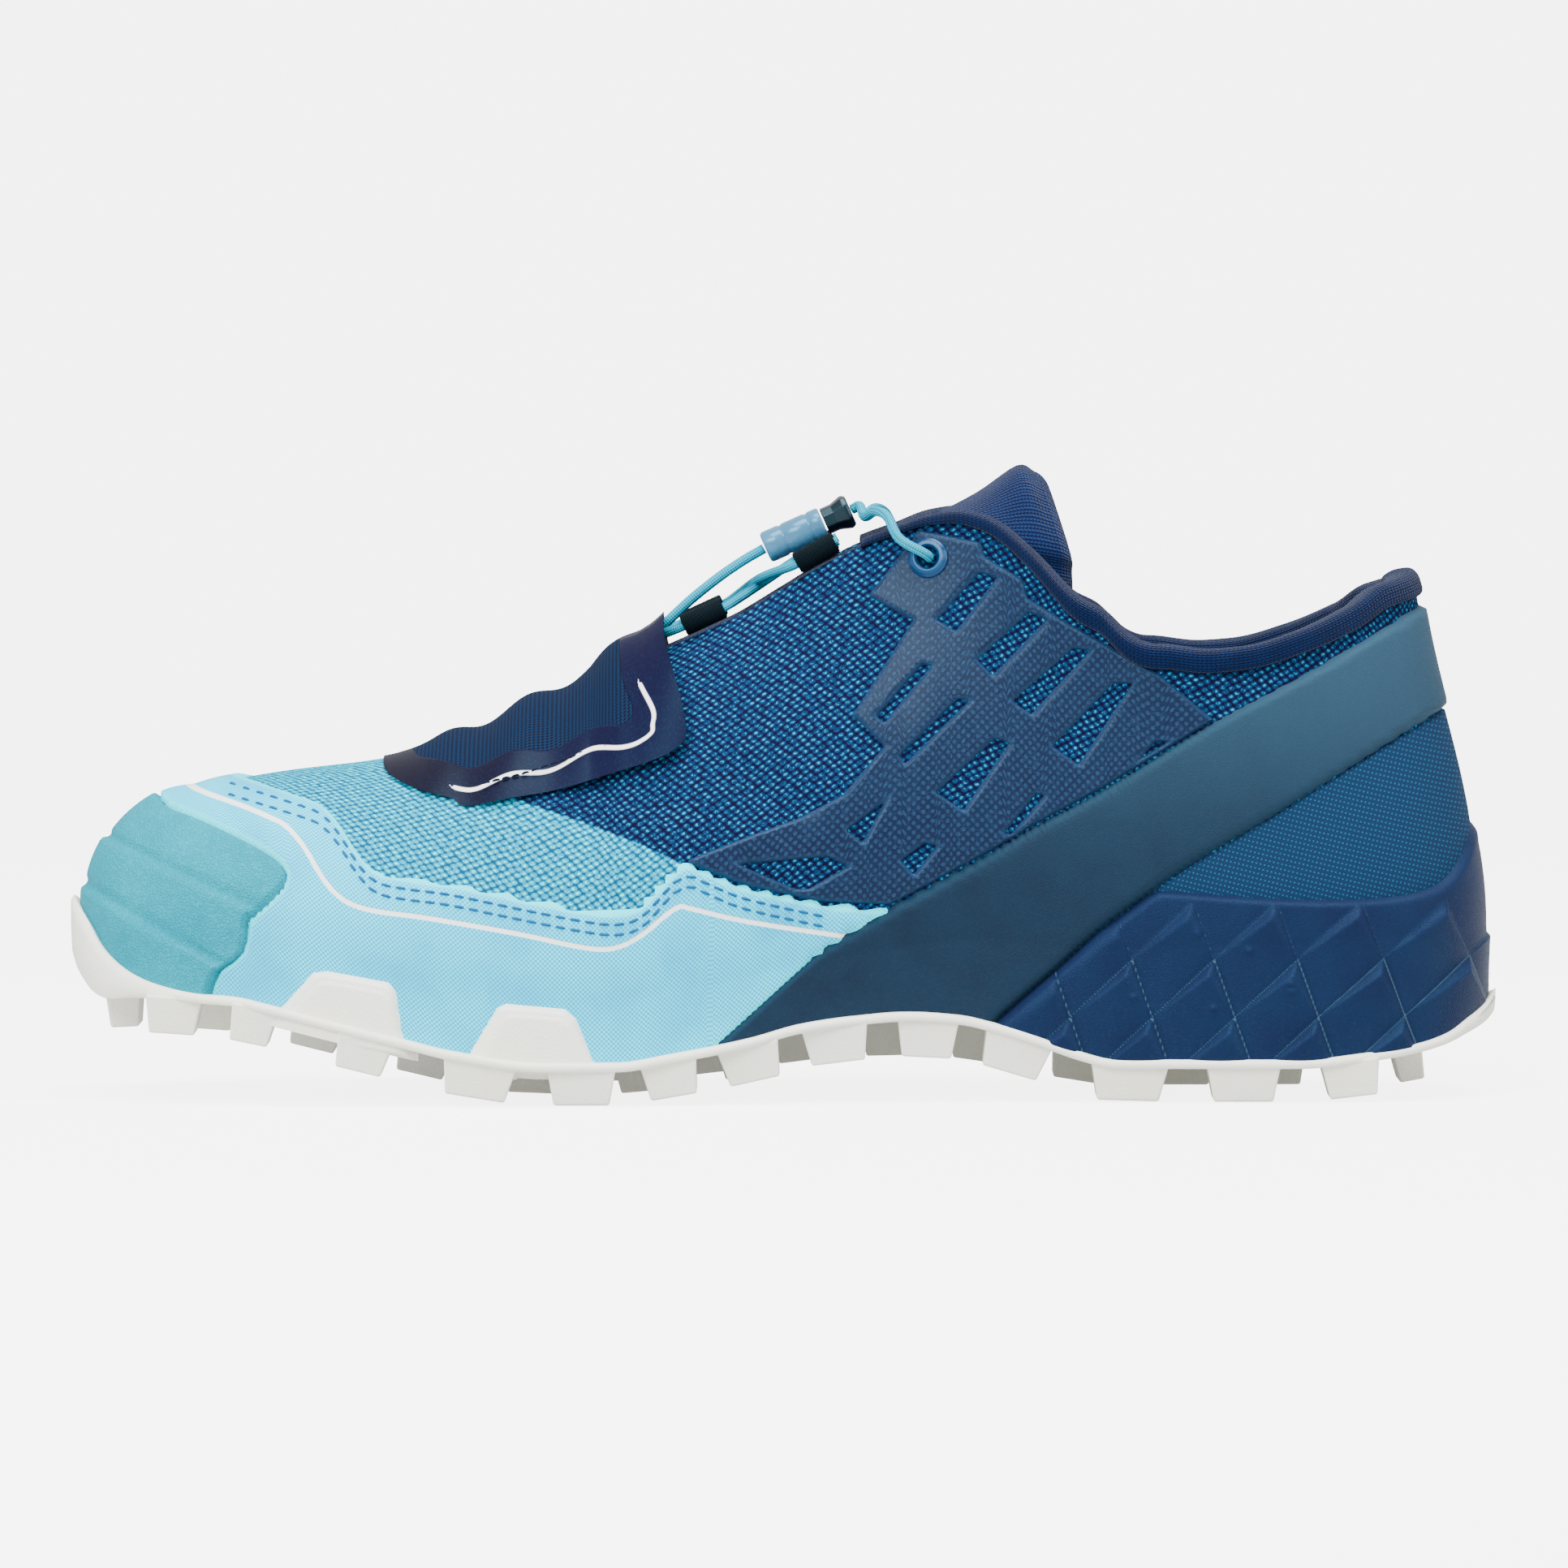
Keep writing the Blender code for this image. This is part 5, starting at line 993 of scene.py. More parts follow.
# A film on the wall: it rises from just under the skin to its thickness across its edge.
# Comes back as points, and for each the distance inside the outline and its place on the wall.
def overlayGrid(turns, rises, outline, thick, edge, under=0.0007):
    base, normals = formAt(turns, rises)
    d = inside(base, outline)
    height = -under + (thick + under) * smooth(0.5 + d / edge)
    return aboveSole(base + normals * (height - creaseDepth(base))[..., None]), d, base


# Turns from the toe back, or from the heel forwards, to a share of the length on both sides.
def roundToe(piece, share):
    return np.linspace(-turnAt(share), turnAt(share), piece["columns"])


def roundHeel(piece, share):
    reach = math.pi - turnAt(share)
    return math.pi + np.linspace(-reach, reach, piece["columns"])


rand = {"columns": 470, "rows": 84, "gap": 0.0004, "top": 0.09, "low": -0.01, "edge": 0.0009, "thick": 0.0009,
        "reach": 0.63,
        "line": ((-0.1159, 0.0591), (-0.1101, 0.0572), (-0.1041, 0.0555), (-0.098, 0.0533), (-0.0946, 0.0516),
                 (-0.0911, 0.0478), (-0.0882, 0.0433), (-0.0852, 0.0398), (-0.082, 0.0378), (-0.077, 0.0365),
                 (-0.0681, 0.0354), (-0.0507, 0.0325), (-0.0406, 0.0304), (-0.0347, 0.0296), (-0.0306, 0.0304),
                 (-0.0267, 0.0326), (-0.0231, 0.0356), (-0.0201, 0.0376), (-0.0182, 0.0373), (-0.0073, 0.0347),
                 (0.0117, 0.0317))}


# Film round the toe: under the eased upper line, behind the cap and before the band.
def makeRand():
    front, gap, top, low = marks(capEdge), rand["gap"], rand["top"], rand["low"]
    outline = ([(front[0][0] + gap, top), (mark(randEdge[0])[0], top)] + curveOf(randEdge[:-1])
               + [(x, z - 0.0006) for x, z in marks(bandTop[4::-1])]
               + [(mark(bandTop[0])[0] - 0.006, low), (front[-1][0] + gap, low)]
               + [(x + gap, z) for x, z in front[::-1]])
    points, d, base = overlayGrid(roundToe(rand, rand["reach"]), np.linspace(-0.9, 1, rand["rows"]), outline,
                                  rand["thick"] + 0.0002, rand["edge"])
    piece = gridPiece("randFilm", points, False, d > -0.0013, {"inside": d, **lineMarks("line", base, rand["line"])})
    return settle(piece, ["rand"], randMaterial())


toeCap = {"columns": 330, "rows": 110, "edge": 0.0012, "ridge": 0.0009, "groove": 0.22, "thick": 0.0022,
          "top": 0.62, "steps": (0.81, 1),
          "ridges": (((0.017, 0.434), (0.127, 0.326)), ((0.02, 0.343), (0.103, 0.238))), "reach": 0.21}


# Three moulded bands; each ridge is a step that eases over its own width, with a groove beside it.
def makeToeCap():
    low, high, before = -0.01, 0.14, -0.17
    outline = curveOf(capEdge) + [(mark(capEdge[-1])[0], low), (before, low), (before, high),
                                  (mark(capEdge[0])[0], high)]
    turns, rises = roundToe(toeCap, toeCap["reach"]), np.linspace(-0.9, 1, toeCap["rows"])
    base, _ = formAt(turns, rises)
    thick = np.full(base.shape[:2], toeCap["top"] * toeCap["thick"])
    for (near, far), share, last in zip(toeCap["ridges"], toeCap["steps"], (toeCap["top"], *toeCap["steps"])):
        (x0, z0), (x1, z1) = mark(near), mark(far)
        below = (z0 + (base[..., 0] - x0) / (x1 - x0) * (z1 - z0)) - base[..., 2]
        thick += (share - last + 0.14) * toeCap["thick"] * smooth(0.5 + below / toeCap["ridge"])
        thick -= toeCap["groove"] * toeCap["thick"] * np.exp(-((below + 0.0012) / 0.0007) ** 2)
    points, d, _ = overlayGrid(turns, rises, outline, thick, toeCap["edge"])
    piece = gridPiece("toeCapRubber", points, False, d > -0.0014, {"inside": d})
    return settle(piece, ["toe_cap"], toeRubberMaterial())


band = {"columns": 480, "rows": 110, "edge": 0.0014, "thick": 0.0015, "reach": 0.42}


# Film from the waist up round the heel, between its two eased lines and their mirror images.
def makeBand():
    rearTop, rearFoot = mark(bandTop[-1])[1], mark(bandFoot[-1])[1]
    outline = (curveOf(bandTop) + [(0.17, rearTop), (0.17, rearFoot)] + curveOf(bandFoot[::-1])
               + [(mark(bandFoot[0])[0] - 0.006, -0.01), (mark(bandTop[0])[0] - 0.006, -0.01)])
    points, d, _ = overlayGrid(roundHeel(band, band["reach"]), np.linspace(-0.9, 1, band["rows"]), outline,
                               band["thick"], band["edge"])
    piece = gridPiece("heelBandFilm", points, False, d > -0.0016, {"inside": d})
    return settle(piece, ["heel_band"], bandMaterial())


counter = {"columns": 300, "rows": 80, "edge": 0.0009, "thick": 0.0008, "reach": 0.62}


# The heel panel between the band and the foam, standing a step below the band.
def makeCounter():
    outline = ([(x, z - 0.0004) for x, z in marks(bandFoot)] + [(0.17, mark(bandFoot[-1])[1]), (0.17, 0.03)]
               + [(mark(cupEdge[-1])[0], 0.03), (mark(cupEdge[0])[0] - 0.02, 0.03)])
    points, d, _ = overlayGrid(roundHeel(counter, counter["reach"]), np.linspace(-0.2, 0.9, counter["rows"]), outline,
                               counter["thick"] - 0.0002, counter["edge"])
    piece = gridPiece("heelPanel", points, False, d > -0.0012, {"inside": d})
    return settle(piece, ["heel_counter"], counterMaterial())


saddle = {"columns": 230, "rows": 190, "edge": 0.0008, "corner": 0.0004, "thick": 0.0009, "under": 0.0006,
          "low": 0.4, "high": 0.83,
          "windows": (((0.604, 0.8), (0.635, 0.884), (0.651, 0.874), (0.62, 0.777)),
                      ((0.632, 0.735), (0.669, 0.818), (0.686, 0.805), (0.645, 0.703)),
                      ((0.656, 0.666), (0.7, 0.758), (0.716, 0.754), (0.672, 0.639)),
                      ((0.684, 0.591), (0.728, 0.7), (0.745, 0.7), (0.705, 0.555)),
                      ((0.738, 0.552), (0.757, 0.603), (0.772, 0.603)),
                      ((0.562, 0.64), (0.596, 0.732), (0.605, 0.726), (0.57, 0.625)),
                      ((0.578, 0.575), (0.62, 0.674), (0.632, 0.669), (0.584, 0.557)),
                      ((0.603, 0.514), (0.646, 0.609), (0.659, 0.599), (0.625, 0.479)),
                      ((0.65, 0.445), (0.674, 0.516), (0.684, 0.513), (0.658, 0.44)),
                      ((0.541, 0.453), (0.575, 0.514), (0.555, 0.425)),
                      ((0.579, 0.402), (0.597, 0.435), (0.609, 0.428), (0.59, 0.372)),
                      ((0.462, 0.4), (0.53, 0.413), (0.548, 0.393), (0.518, 0.352), (0.507, 0.352)))}


# Welded lattice: inside its outline and outside every window, with softened corners.
def makeSaddle(side, word):
    outline = (marks(filmEdge) + [(x, z + 0.0009) for x, z in marks(bandTop[9:3:-1])]
               + [(x, z + 0.0006) for x, z in marks(randEdge[-2:13:-1])])
    base, normals = formAt(sideTurns(saddle, side, saddle["low"], saddle["high"]),
                           np.linspace(0.05, 1, saddle["rows"]))
    d = inside(base, outline)
    for window in saddle["windows"]:
        d = np.minimum(d, -inside(base, marks(window)) + saddle["corner"])
    centre, _ = eyeletPlace(side)
    d = np.minimum(d, np.linalg.norm(base - centre, axis=2) - eyelet["hole"] - 0.0007)
    height = -saddle["under"] + (saddle["thick"] + saddle["under"]) * smooth(0.5 + d / saddle["edge"])
    points = base + normals * (height - creaseDepth(base))[..., None]
    piece = gridPiece(f"saddleFilm{word.title()}", points, False, d > -0.001, {"inside": d})
    return settle(piece, [f"saddle_{word}"], saddleMaterial())


# Turns on one side between two shares of the length, in the order that faces the grid outwards.
def sideTurns(piece, side, low, high):
    turns = side * np.linspace(turnAt(low), turnAt(high), piece["columns"])
    return turns if side > 0 else turns[::-1]


eyelet = {"face": 0.0011, "place": (0.601, 0.903), "flange": 0.0039, "hole": 0.0019}


def eyeletPlace(side):
    points, normals = onSide([mark(eyelet["place"])], side)
    return points[0], normals[0]


# A profile of radius and height turned round an axis into a closed ring.
def turnedPiece(name, profile, centre, axis, sides):
    first = np.cross(axis, (1.0, 0, 0))
    first /= np.linalg.norm(first)
    second = np.cross(axis, first)
    turns = np.linspace(0, 2 * math.pi, sides, endpoint=False)
    spokes = np.cos(turns)[:, None] * first + np.sin(turns)[:, None] * second
    profile = eased(profile, 4, True)
    points = centre + spokes[:, None] * profile[None, :, :1] + axis * profile[None, :, 1:]
    points = np.concatenate([points, points[:1]])
    return closedGrid(name, points, False)


# Flanged ring: its section, lip by lip, turned round the wall's normal.
def makeEyelet(side, word, material):
    centre, axis = eyeletPlace(side)
    face, hole, out = eyelet["face"], eyelet["hole"], eyelet["flange"]
    profile = [(hole, -shoe["wall"]), (hole + 0.0006, -shoe["wall"]), (hole + 0.0007, face - 0.0002),
               (out - 0.0002, face - 0.0003), (out, face + 0.0001), (out - 0.0005, face + 0.0006),
               (hole + 0.0012, face + 0.0008), (hole + 0.0002, face + 0.0005)]
    piece = turnedPiece(f"eyelet{word.title()}", profile, centre, axis, 64)
    return settle(piece, [f"eyelet_{word}"], material)


cover = {"columns": 225, "across": 180, "from": 0.185, "to": 0.475, "off": 0.0005, "height": 0.007, "thick": 0.0013,
         "fold": 0.0011, "lift": ((0, 0), (0.22, 0), (0.3, 0.16), (0.36, 0.36), (0.4, 0.86), (0.425, 1), (1, 1)),
         "mesh": ((-0.0723, 0.069), (-0.0711, 0.0659), (-0.0673, 0.0646), (-0.0595, 0.0643), (-0.0504, 0.0663),
                  (-0.0411, 0.0688), (-0.0337, 0.0712), (-0.0297, 0.0734), (-0.0289, 0.0762), (-0.0306, 0.0798),
                  (-0.0314, 0.084), (-0.0319, 0.0902), (-0.0328, 0.1011), (-0.0747, 0.1011)),
         "line": ((-0.0629, 0.0602), (-0.0568, 0.0604), (-0.048, 0.0629), (-0.037, 0.0663), (-0.0262, 0.0699),
                  (-0.0251, 0.0721), (-0.025, 0.0748), (-0.0275, 0.0803))}


# Flap over the throat: it follows the vamp from edge to edge, lifts with the table and waves in folds.
def makeCover():
    share = np.linspace(cover["from"], cover["to"], cover["columns"])
    turns, rises = np.arccos(1 - 2 * share), np.linspace(0.16, 1, 90)
    lift = np.interp(share, *np.array(cover["lift"]).T) * cover["height"]
    left, leftNormal = formAt(-turns, rises)
    right, rightNormal = formAt(turns, rises)
    across = np.linspace(-1, 1, cover["across"])
    rows, waves = [], []
    for c in range(len(turns)):
        a, b = left[:, c] + leftNormal[:, c] * cover["off"], right[::-1, c] + rightNormal[::-1, c] * cover["off"]
        line = np.concatenate([a, (a[-1:] + b[:1]) / 2, b])
        run = runAlong(line)
        points = np.stack([np.interp((across + 1) / 2 * run[-1], run, line[:, k]) for k in range(3)], axis=1)
        points[:, 2] += lift[c] * (1 - np.abs(across) ** 3)
        wave = cover["fold"] * smooth((share[c] - 0.22) / 0.06) * np.sin(share[c] * 105 + np.abs(across) * 2.5)
        waves.append(wave * (1 - across**2))
        rows.append(points)
    calm = np.array(rows)[:, ::-1].transpose(1, 0, 2)  # the marks are read before the folds are added
    points = calm.copy()
    points[..., 2] += np.array(waves)[:, ::-1].T
    outline = curveOf(coverEdge) + [(mark(coverEdge[-1])[0], 0.14), (mark(coverEdge[0])[0], 0.14)]
    mesh = inside(calm, [tuple(p) for p in eased(cover["mesh"], 3)])
    piece = gridPiece("throatCover", points, False, inside(points, outline) > -0.004,
                      {"mesh": mesh, **lineMarks("line", calm, cover["line"])})
    modified(piece, "SOLIDIFY", thickness=cover["thick"], offset=1.0)
    cutter = prismPiece("coverCutter", outline)
    modified(piece, "BOOLEAN", operation="INTERSECT", object=cutter, solver="EXACT")
    piece = baked(piece)
    bpy.data.objects.remove(cutter)
    smoothFaces(piece.data)
    modified(piece, "EDGE_SPLIT", split_angle=math.radians(50))
    return settle(piece, ["throat_cover"], coverMaterial())


# A shape on the side, drawn straight across the shoe, to cut with.
def prismPiece(name, outline):
    count = len(outline)
    points = [(x, y, z) for y in (-0.1, 0.1) for x, z in outline]
    faces = [tuple(range(count)), tuple(range(2 * count - 1, count - 1, -1))]
    faces += [(k + count, (k + 1) % count + count, (k + 1) % count, k) for k in range(count)]
    mesh = bpy.data.meshes.new(name)
    mesh.from_pydata(points, [], faces)
    made = linkObject(name, mesh)
    made.hide_render = True
    area = sum(a[0] * b[1] - b[0] * a[1] for a, b in zip(outline, outline[1:] + outline[:1]))
    if area < 0:
        mesh.flip_normals()
    return made


midsole = {"columns": 680, "rows": 190, "thick": 0.0044, "relief": 0.0017, "rim": 0.42, "start": (0.0939, 0.0383),
           "rising": (0.01176, 0.01104), "falling": (0.00384, -0.01104), "tip": 0.14, "reach": 0.58,
           "under": 0.0008, "base": 0.0011, "thinning": 0.35, "edge": 0.0022, "fade": 0.003, "pipHeight": 0.0005,
           "pipRadius": 0.0006,
           "pips": ((0.079, 0.0323), (0.0887, 0.029), (0.0965, 0.0212), (0.0821, 0.018), (0.0962, 0.0227),
                    (0.0669, 0.0201))}


# Overlapping scales in slanted cells: a pyramid whose tip stands near the cell's upper corner.
# a runs down the rising edge and b down the falling edge, both 0 at that corner; smooth above row 0.
def scaleHeight(x, z):
    (x0, z0), (rx, rz), (fx, fz) = midsole["start"], midsole["rising"], midsole["falling"]
    turn = rx * fz - rz * fx
    a = -((x - x0) * fz - (z - z0) * fx) / turn
    b = ((z - z0) * rx - (x - x0) * rz) / turn
    row = np.floor(a) + np.floor(b)
    a, b, tip = a % 1.0, b % 1.0, midsole["tip"]
    long = (1 - a) * (1 - b) / (1 - tip) ** 2
    border = np.minimum(np.minimum(a, 1 - a), np.minimum(b, 1 - b))
    return np.where(row >= 0, np.minimum(np.minimum(a, b) / tip, long), 0.0), np.where(row >= 0, border, 1.0)


# Foam cup round the heel: thickest at the sole, thin at its rim, covered in raised scales.
def makeMidsole():
    base, normals = formAt(roundHeel(midsole, midsole["reach"]), np.linspace(-1.0, 0.72, midsole["rows"]))
    flat = normals * (1, 1, 0)
    flat /= np.linalg.norm(flat, axis=2)[..., None]
    outline = ([(x + 0.0003, z - 0.0006) for x, z in marks(bandFoot[:4])] + curveOf(cupEdge)
               + [(0.17, mark(cupEdge[-1])[1]), (0.17, -0.02), (mark(bandFoot[0])[0] + 0.0006, -0.02)])
    d = inside(base, outline)
    foot = base[0:1, :, 2]
    share = np.clip((base[..., 2] - foot) / (midsole["rim"] * shoe["instep"] - foot), 0, 1)
    body = midsole["thick"] - midsole["base"] - midsole["thinning"] * midsole["thick"] * share**2
    scale, border = scaleHeight(base[..., 0], base[..., 2])
    for x, z in midsole["pips"]:
        away = (base[..., 0] - x) ** 2 + (base[..., 2] - z) ** 2
        body = body + midsole["pipHeight"] * np.exp(-away / midsole["pipRadius"]**2)
    under = midsole["under"]
    height = -under + (body + under) * smooth(0.5 + d / midsole["edge"])
    height = height + midsole["relief"] * scale * smooth(d / midsole["fade"])
    piece = gridPiece("midsoleCup", aboveSole(base + flat * height[..., None]), False, d > -0.002,
                      {"border": border, "inside": d})
    return settle(piece, ["midsole"], foamMaterial())


outsole = {"columns": 420, "lugTaper": 0.8, "lugRoot": 0.0008, "topInset": 0.004, "lugInset": 0.0012,
           "lugWaist": 0.93, "bevel": 0.00045,
           "lugs": ((0.077, 0.11, 0.17, -1), (0.134, 0.092, 0.17, -1), (0.211, 0.112, 0.18, -1),
                    (0.29, 0.145, 0.19, -1), (0.36, 0.135, 0.19, -1), (0.42, 0.112, 0.18, -1),
                    (0.475, 0.122, 0.17, -1), (0.535, 0.13, 0.16, -1), (0.6, 0.12, 0.16, -1),
                    (0.663, 0.135, 0.17, -1), (0.74, 0.15, 0.19, -1), (0.819, 0.145, 0.19, -1),
                    (0.893, 0.115, 0.18, -1), (0.105, 0.105, 0.17, 1), (0.17, 0.105, 0.17, 1),
                    (0.245, 0.115, 0.18, 1), (0.325, 0.13, 0.19, 1), (0.385, 0.09, 0.18, 1), (0.45, 0.115, 0.17, 1),
                    (0.51, 0.115, 0.16, 1), (0.575, 0.12, 0.16, 1), (0.64, 0.12, 0.16, 1), (0.71, 0.11, 0.17, 1),
                    (0.78, 0.145, 0.19, 1), (0.85, 0.11, 0.18, 1), (0.905, 0.085, 0.17, 1), (0.038, 0.07, 0.2, 0),
                    (0.1, 0.1, 0.19, 0), (0.175, 0.11, 0.22, 0), (0.25, 0.115, 0.24, 0), (0.325, 0.12, 0.24, 0),
                    (0.4, 0.115, 0.22, 0), (0.47, 0.105, 0.18, 0), (0.745, 0.11, 0.18, 0), (0.825, 0.115, 0.18, 0),
                    (0.936, 0.062, 0.22, 0))}


# Plate round the whole shoe with lugs under it and two wraps up each side.
def makeOutsole():
    turns = np.linspace(-math.pi, math.pi, outsole["columns"], endpoint=False)
    shares = planAt(turns, 0)[:, 0] / shoe["length"] + 0.5
    side = sideOf(turns)
    out = outAt(turns, shoe["sideStack"])
    ground = planAt(turns, shoe["sideStack"])
    inset, stack = outsole["topInset"], shoe["sideStack"]
    levels = [(inset - 0.004, 0.0), (inset - 0.0004, 0.0), (inset, 0.03), (stack, 0.3),
              (stack, 0.6), (stack - 0.0002, 0.9), (stack - 0.0009, 1.0)]
    rings = []
    for offset, level in levels:
        at = np.clip((ground + out * min(offset, shoe["sideStack"]))[:, 0] / shoe["length"] + 0.5, 0, 1)
        top, bottom = soleTop(at, side), soleBottom(at, side)
        rings.append(np.concatenate([ground + out * offset, (top + (bottom - top) * level)[:, None]], axis=1))
    rings = np.array(rings)[::-1]
    mirror = (len(turns) - np.arange(len(turns))) % len(turns)
    half = np.arange(len(turns) // 2 + 1)
    across = np.linspace(0, 1, 24)[:, None, None]
    lower = rings[0]
    under = lower[half] * (1 - across) + lower[mirror[half]] * across
    rim = gridPiece("outsolePlate", rings, True)
    web = gridPiece("outsoleWeb", under)
    blocks = [lugBlock(f"lug{n}", lug) for n, lug in enumerate(outsole["lugs"])]
    sides = [wrapPiece(n, w, s) for n, w in enumerate(wrap["shapes"]) for s in (-1, 1)]
    piece = joined("outsoleRubber", [rim, web] + blocks + sides)
    return settle(piece, ["outsole"], soleRubberMaterial())


# A faceted block: root at the plate, tapering to a smaller foot, square to the sole.
def lugBlock(name, lug):
    share, longShare, wideShare, side = lug
    length, width = longShare * shoe["ballWidth"], wideShare * shoe["ballWidth"]
    x = (share - 0.5) * shoe["length"]
    centre = float(through(plan, 1, share)) * shoe["ballWidth"]
    half = float(through(plan, 2, share)) * (shoe["ballWidth"] - 2 * shoe["sideStack"]) + shoe["sideStack"]
    y = centre + side * (half - width / 2 - outsole["lugInset"])
    reach = length / 2 / shoe["length"]
    mix = (y - (centre - half)) / (2 * half)
    before, here, after = ((1 - mix) * float(soleBottom(s, -1)) + mix * float(soleBottom(s, 1))
                           for s in (share - reach, share, share + reach))
    tilt = math.atan2(after - before, length)
    corners = np.array([(-0.5, -0.5), (0.5, -0.5), (0.5, 0.5), (-0.5, 0.5)]) * (length, width)
    rings = []
    for taper, z in ((1.0, outsole["lugRoot"]), (outsole["lugWaist"], -0.25 * shoe["lugDepth"]),
                     (outsole["lugTaper"], -shoe["lugDepth"])):
        rings.append(np.concatenate([corners * taper, np.full((4, 1), z)], axis=1))
    turn = np.array([[math.cos(tilt), 0, -math.sin(tilt)], [0, 1, 0], [math.sin(tilt), 0, math.cos(tilt)]])
    points = np.concatenate(rings) @ turn.T + (x, y, here)
    points[8:, 2] = np.maximum(points[8:, 2], 0)
    faces = [(3, 2, 1, 0), (8, 9, 10, 11)]
    faces += [(r * 4 + k, r * 4 + (k + 1) % 4, r * 4 + 4 + (k + 1) % 4, r * 4 + 4 + k) for r in (0, 1)
              for k in range(4)]
    mesh = bpy.data.meshes.new(name)
    mesh.from_pydata([tuple(p) for p in points], [], [f[::-1] for f in faces])
    made = linkObject(name, mesh)
    modified(made, "BEVEL", width=outsole["bevel"], segments=3, limit_method="ANGLE")
    return baked(made)


wrap = {"columns": 170, "rows": 60, "thick": 0.0022,
        "shapes": (
                   ((0.14, 0.12), (0.176, 0.216), (0.185, 0.219), (0.227, 0.201), (0.231, 0.187), (0.235, 0.12),
                    (0.242, 0.08)),
                   ((0.278, 0.06), (0.303, 0.16), (0.308, 0.166), (0.348, 0.157), (0.355, 0.142), (0.366, 0.074),
                    (0.371, 0.05)))}


# Rubber wrapped up the side: its thickness inside the shape, less a shallow step round its middle.
def wrapPiece(number, shape, side):
    outline = marks(shape)
    base, normals = formAt(sideTurns(wrap, side, 0.1, 0.42), np.linspace(-0.98, 0.42, wrap["rows"]))
    d = inside(base, outline)
    x, z = 0.14 * np.mean(outline, axis=0)
    step = smooth(0.5 + inside(base, [(p[0] * 0.86 + x, p[1] * 0.86 + z - 0.0008) for p in outline]) / 0.0006)
    height = 0.0012 + wrap["thick"] * smooth(0.5 + d / 0.0013) - 0.0004 * (1 - step)
    height = np.where(d < -0.0008, -0.0006, height)
    return gridPiece(f"wrap{number}{side}", base + normals * height[..., None], False, d > -0.0012)


def joined(name, pieces):
    bpy.ops.object.select_all(action="DESELECT")
    for p in pieces:
        p.select_set(True)
    bpy.context.view_layer.objects.active = pieces[0]
    bpy.ops.object.join()
    pieces[0].name = name
    return pieces[0]


# Length down a column from the top line, with its points and normals, at one turn.
def columnFrame(turn):
    points, normals = formAt([turn], np.linspace(1, 0, 60))
    points, normals = points[:, 0], normals[:, 0]
    run = runAlong(points)
    return run, points, normals


def downColumn(column, distance, offset):
    run, points, normals = column
    point = np.array([np.interp(distance, run, points[:, k]) for k in range(3)])
    normal = np.array([np.interp(distance, run, normals[:, k]) for k in range(3)])
    if distance < 0:
        up = points[0] - points[1]
        point = point - up / np.linalg.norm(up) * distance
    return point + normal / np.linalg.norm(normal) * offset


# Closed profiles eased round themselves, then from one to the next.
def easedBothWays(profiles, around, along):
    return eased(eased(np.array(profiles).transpose(1, 0, 2), around, True).transpose(1, 0, 2), along)


collar = {"depth": 0.022, "roll": 0.004, "pad": 0.004, "front": 0.585, "turns": 90, "gap": 0.0006}


# Padded knit: a roll over the top line and a lining that thins downwards.
def makeCollar():
    start = turnAt(collar["front"] - 0.028)
    turns = np.concatenate([-np.linspace(start, math.pi, collar["turns"]),
                            np.linspace(math.pi, start, collar["turns"])[1:]])
    inner = shoe["wall"] + collar["gap"]
    profiles = []
    for turn in turns:
        share = float(shareOf(turn))
        full = float(np.clip((share - collar["front"]) / 0.12, 0, 1))
        pad, depth = collar["pad"] * (0.3 + 0.7 * full), collar["depth"] * (0.22 + 0.78 * full)
        roll = collar["roll"] * (0.38 + 0.62 * full)
        column = columnFrame(turn)
        shape = [(0.0009, 0.0006), (0.0012, -0.35 * roll), (0.0006, -0.8 * roll), (-0.001, -roll),
                 (-inner - 0.4 * pad, -0.92 * roll),
                 (-inner - 0.9 * pad, -0.4 * roll), (-inner - pad, 0.25 * depth), (-inner - 0.75 * pad, 0.75 * depth),
                 (-inner - 0.35 * pad, depth), (-inner, 0.9 * depth), (-inner, -0.0003)]
        profiles.append([downColumn(column, distance, offset) for offset, distance in shape])
    piece = closedGrid("collarKnit", easedBothWays(profiles, 5, 2))
    return settle(piece, ["collar"], knitMaterial("collarKnit", srgb(2, 3, 28), srgb(8, 26, 67)))


tongue = {"thick": 0.0036, "overhang": 0.025, "rise": 0.0118, "crown": 0.001, "sections": 13,
          "end": ((0.45, 0.45, 0.205), (0.85, 0.9, 0.19), (1.05, 0.8, 0.175)), "gap": 0.0009, "tuck": 0.0024,
          "droop": 0.35, "bow": 0.004, "swell": 0.7, "down": (0.007, 0.0035, 0)}


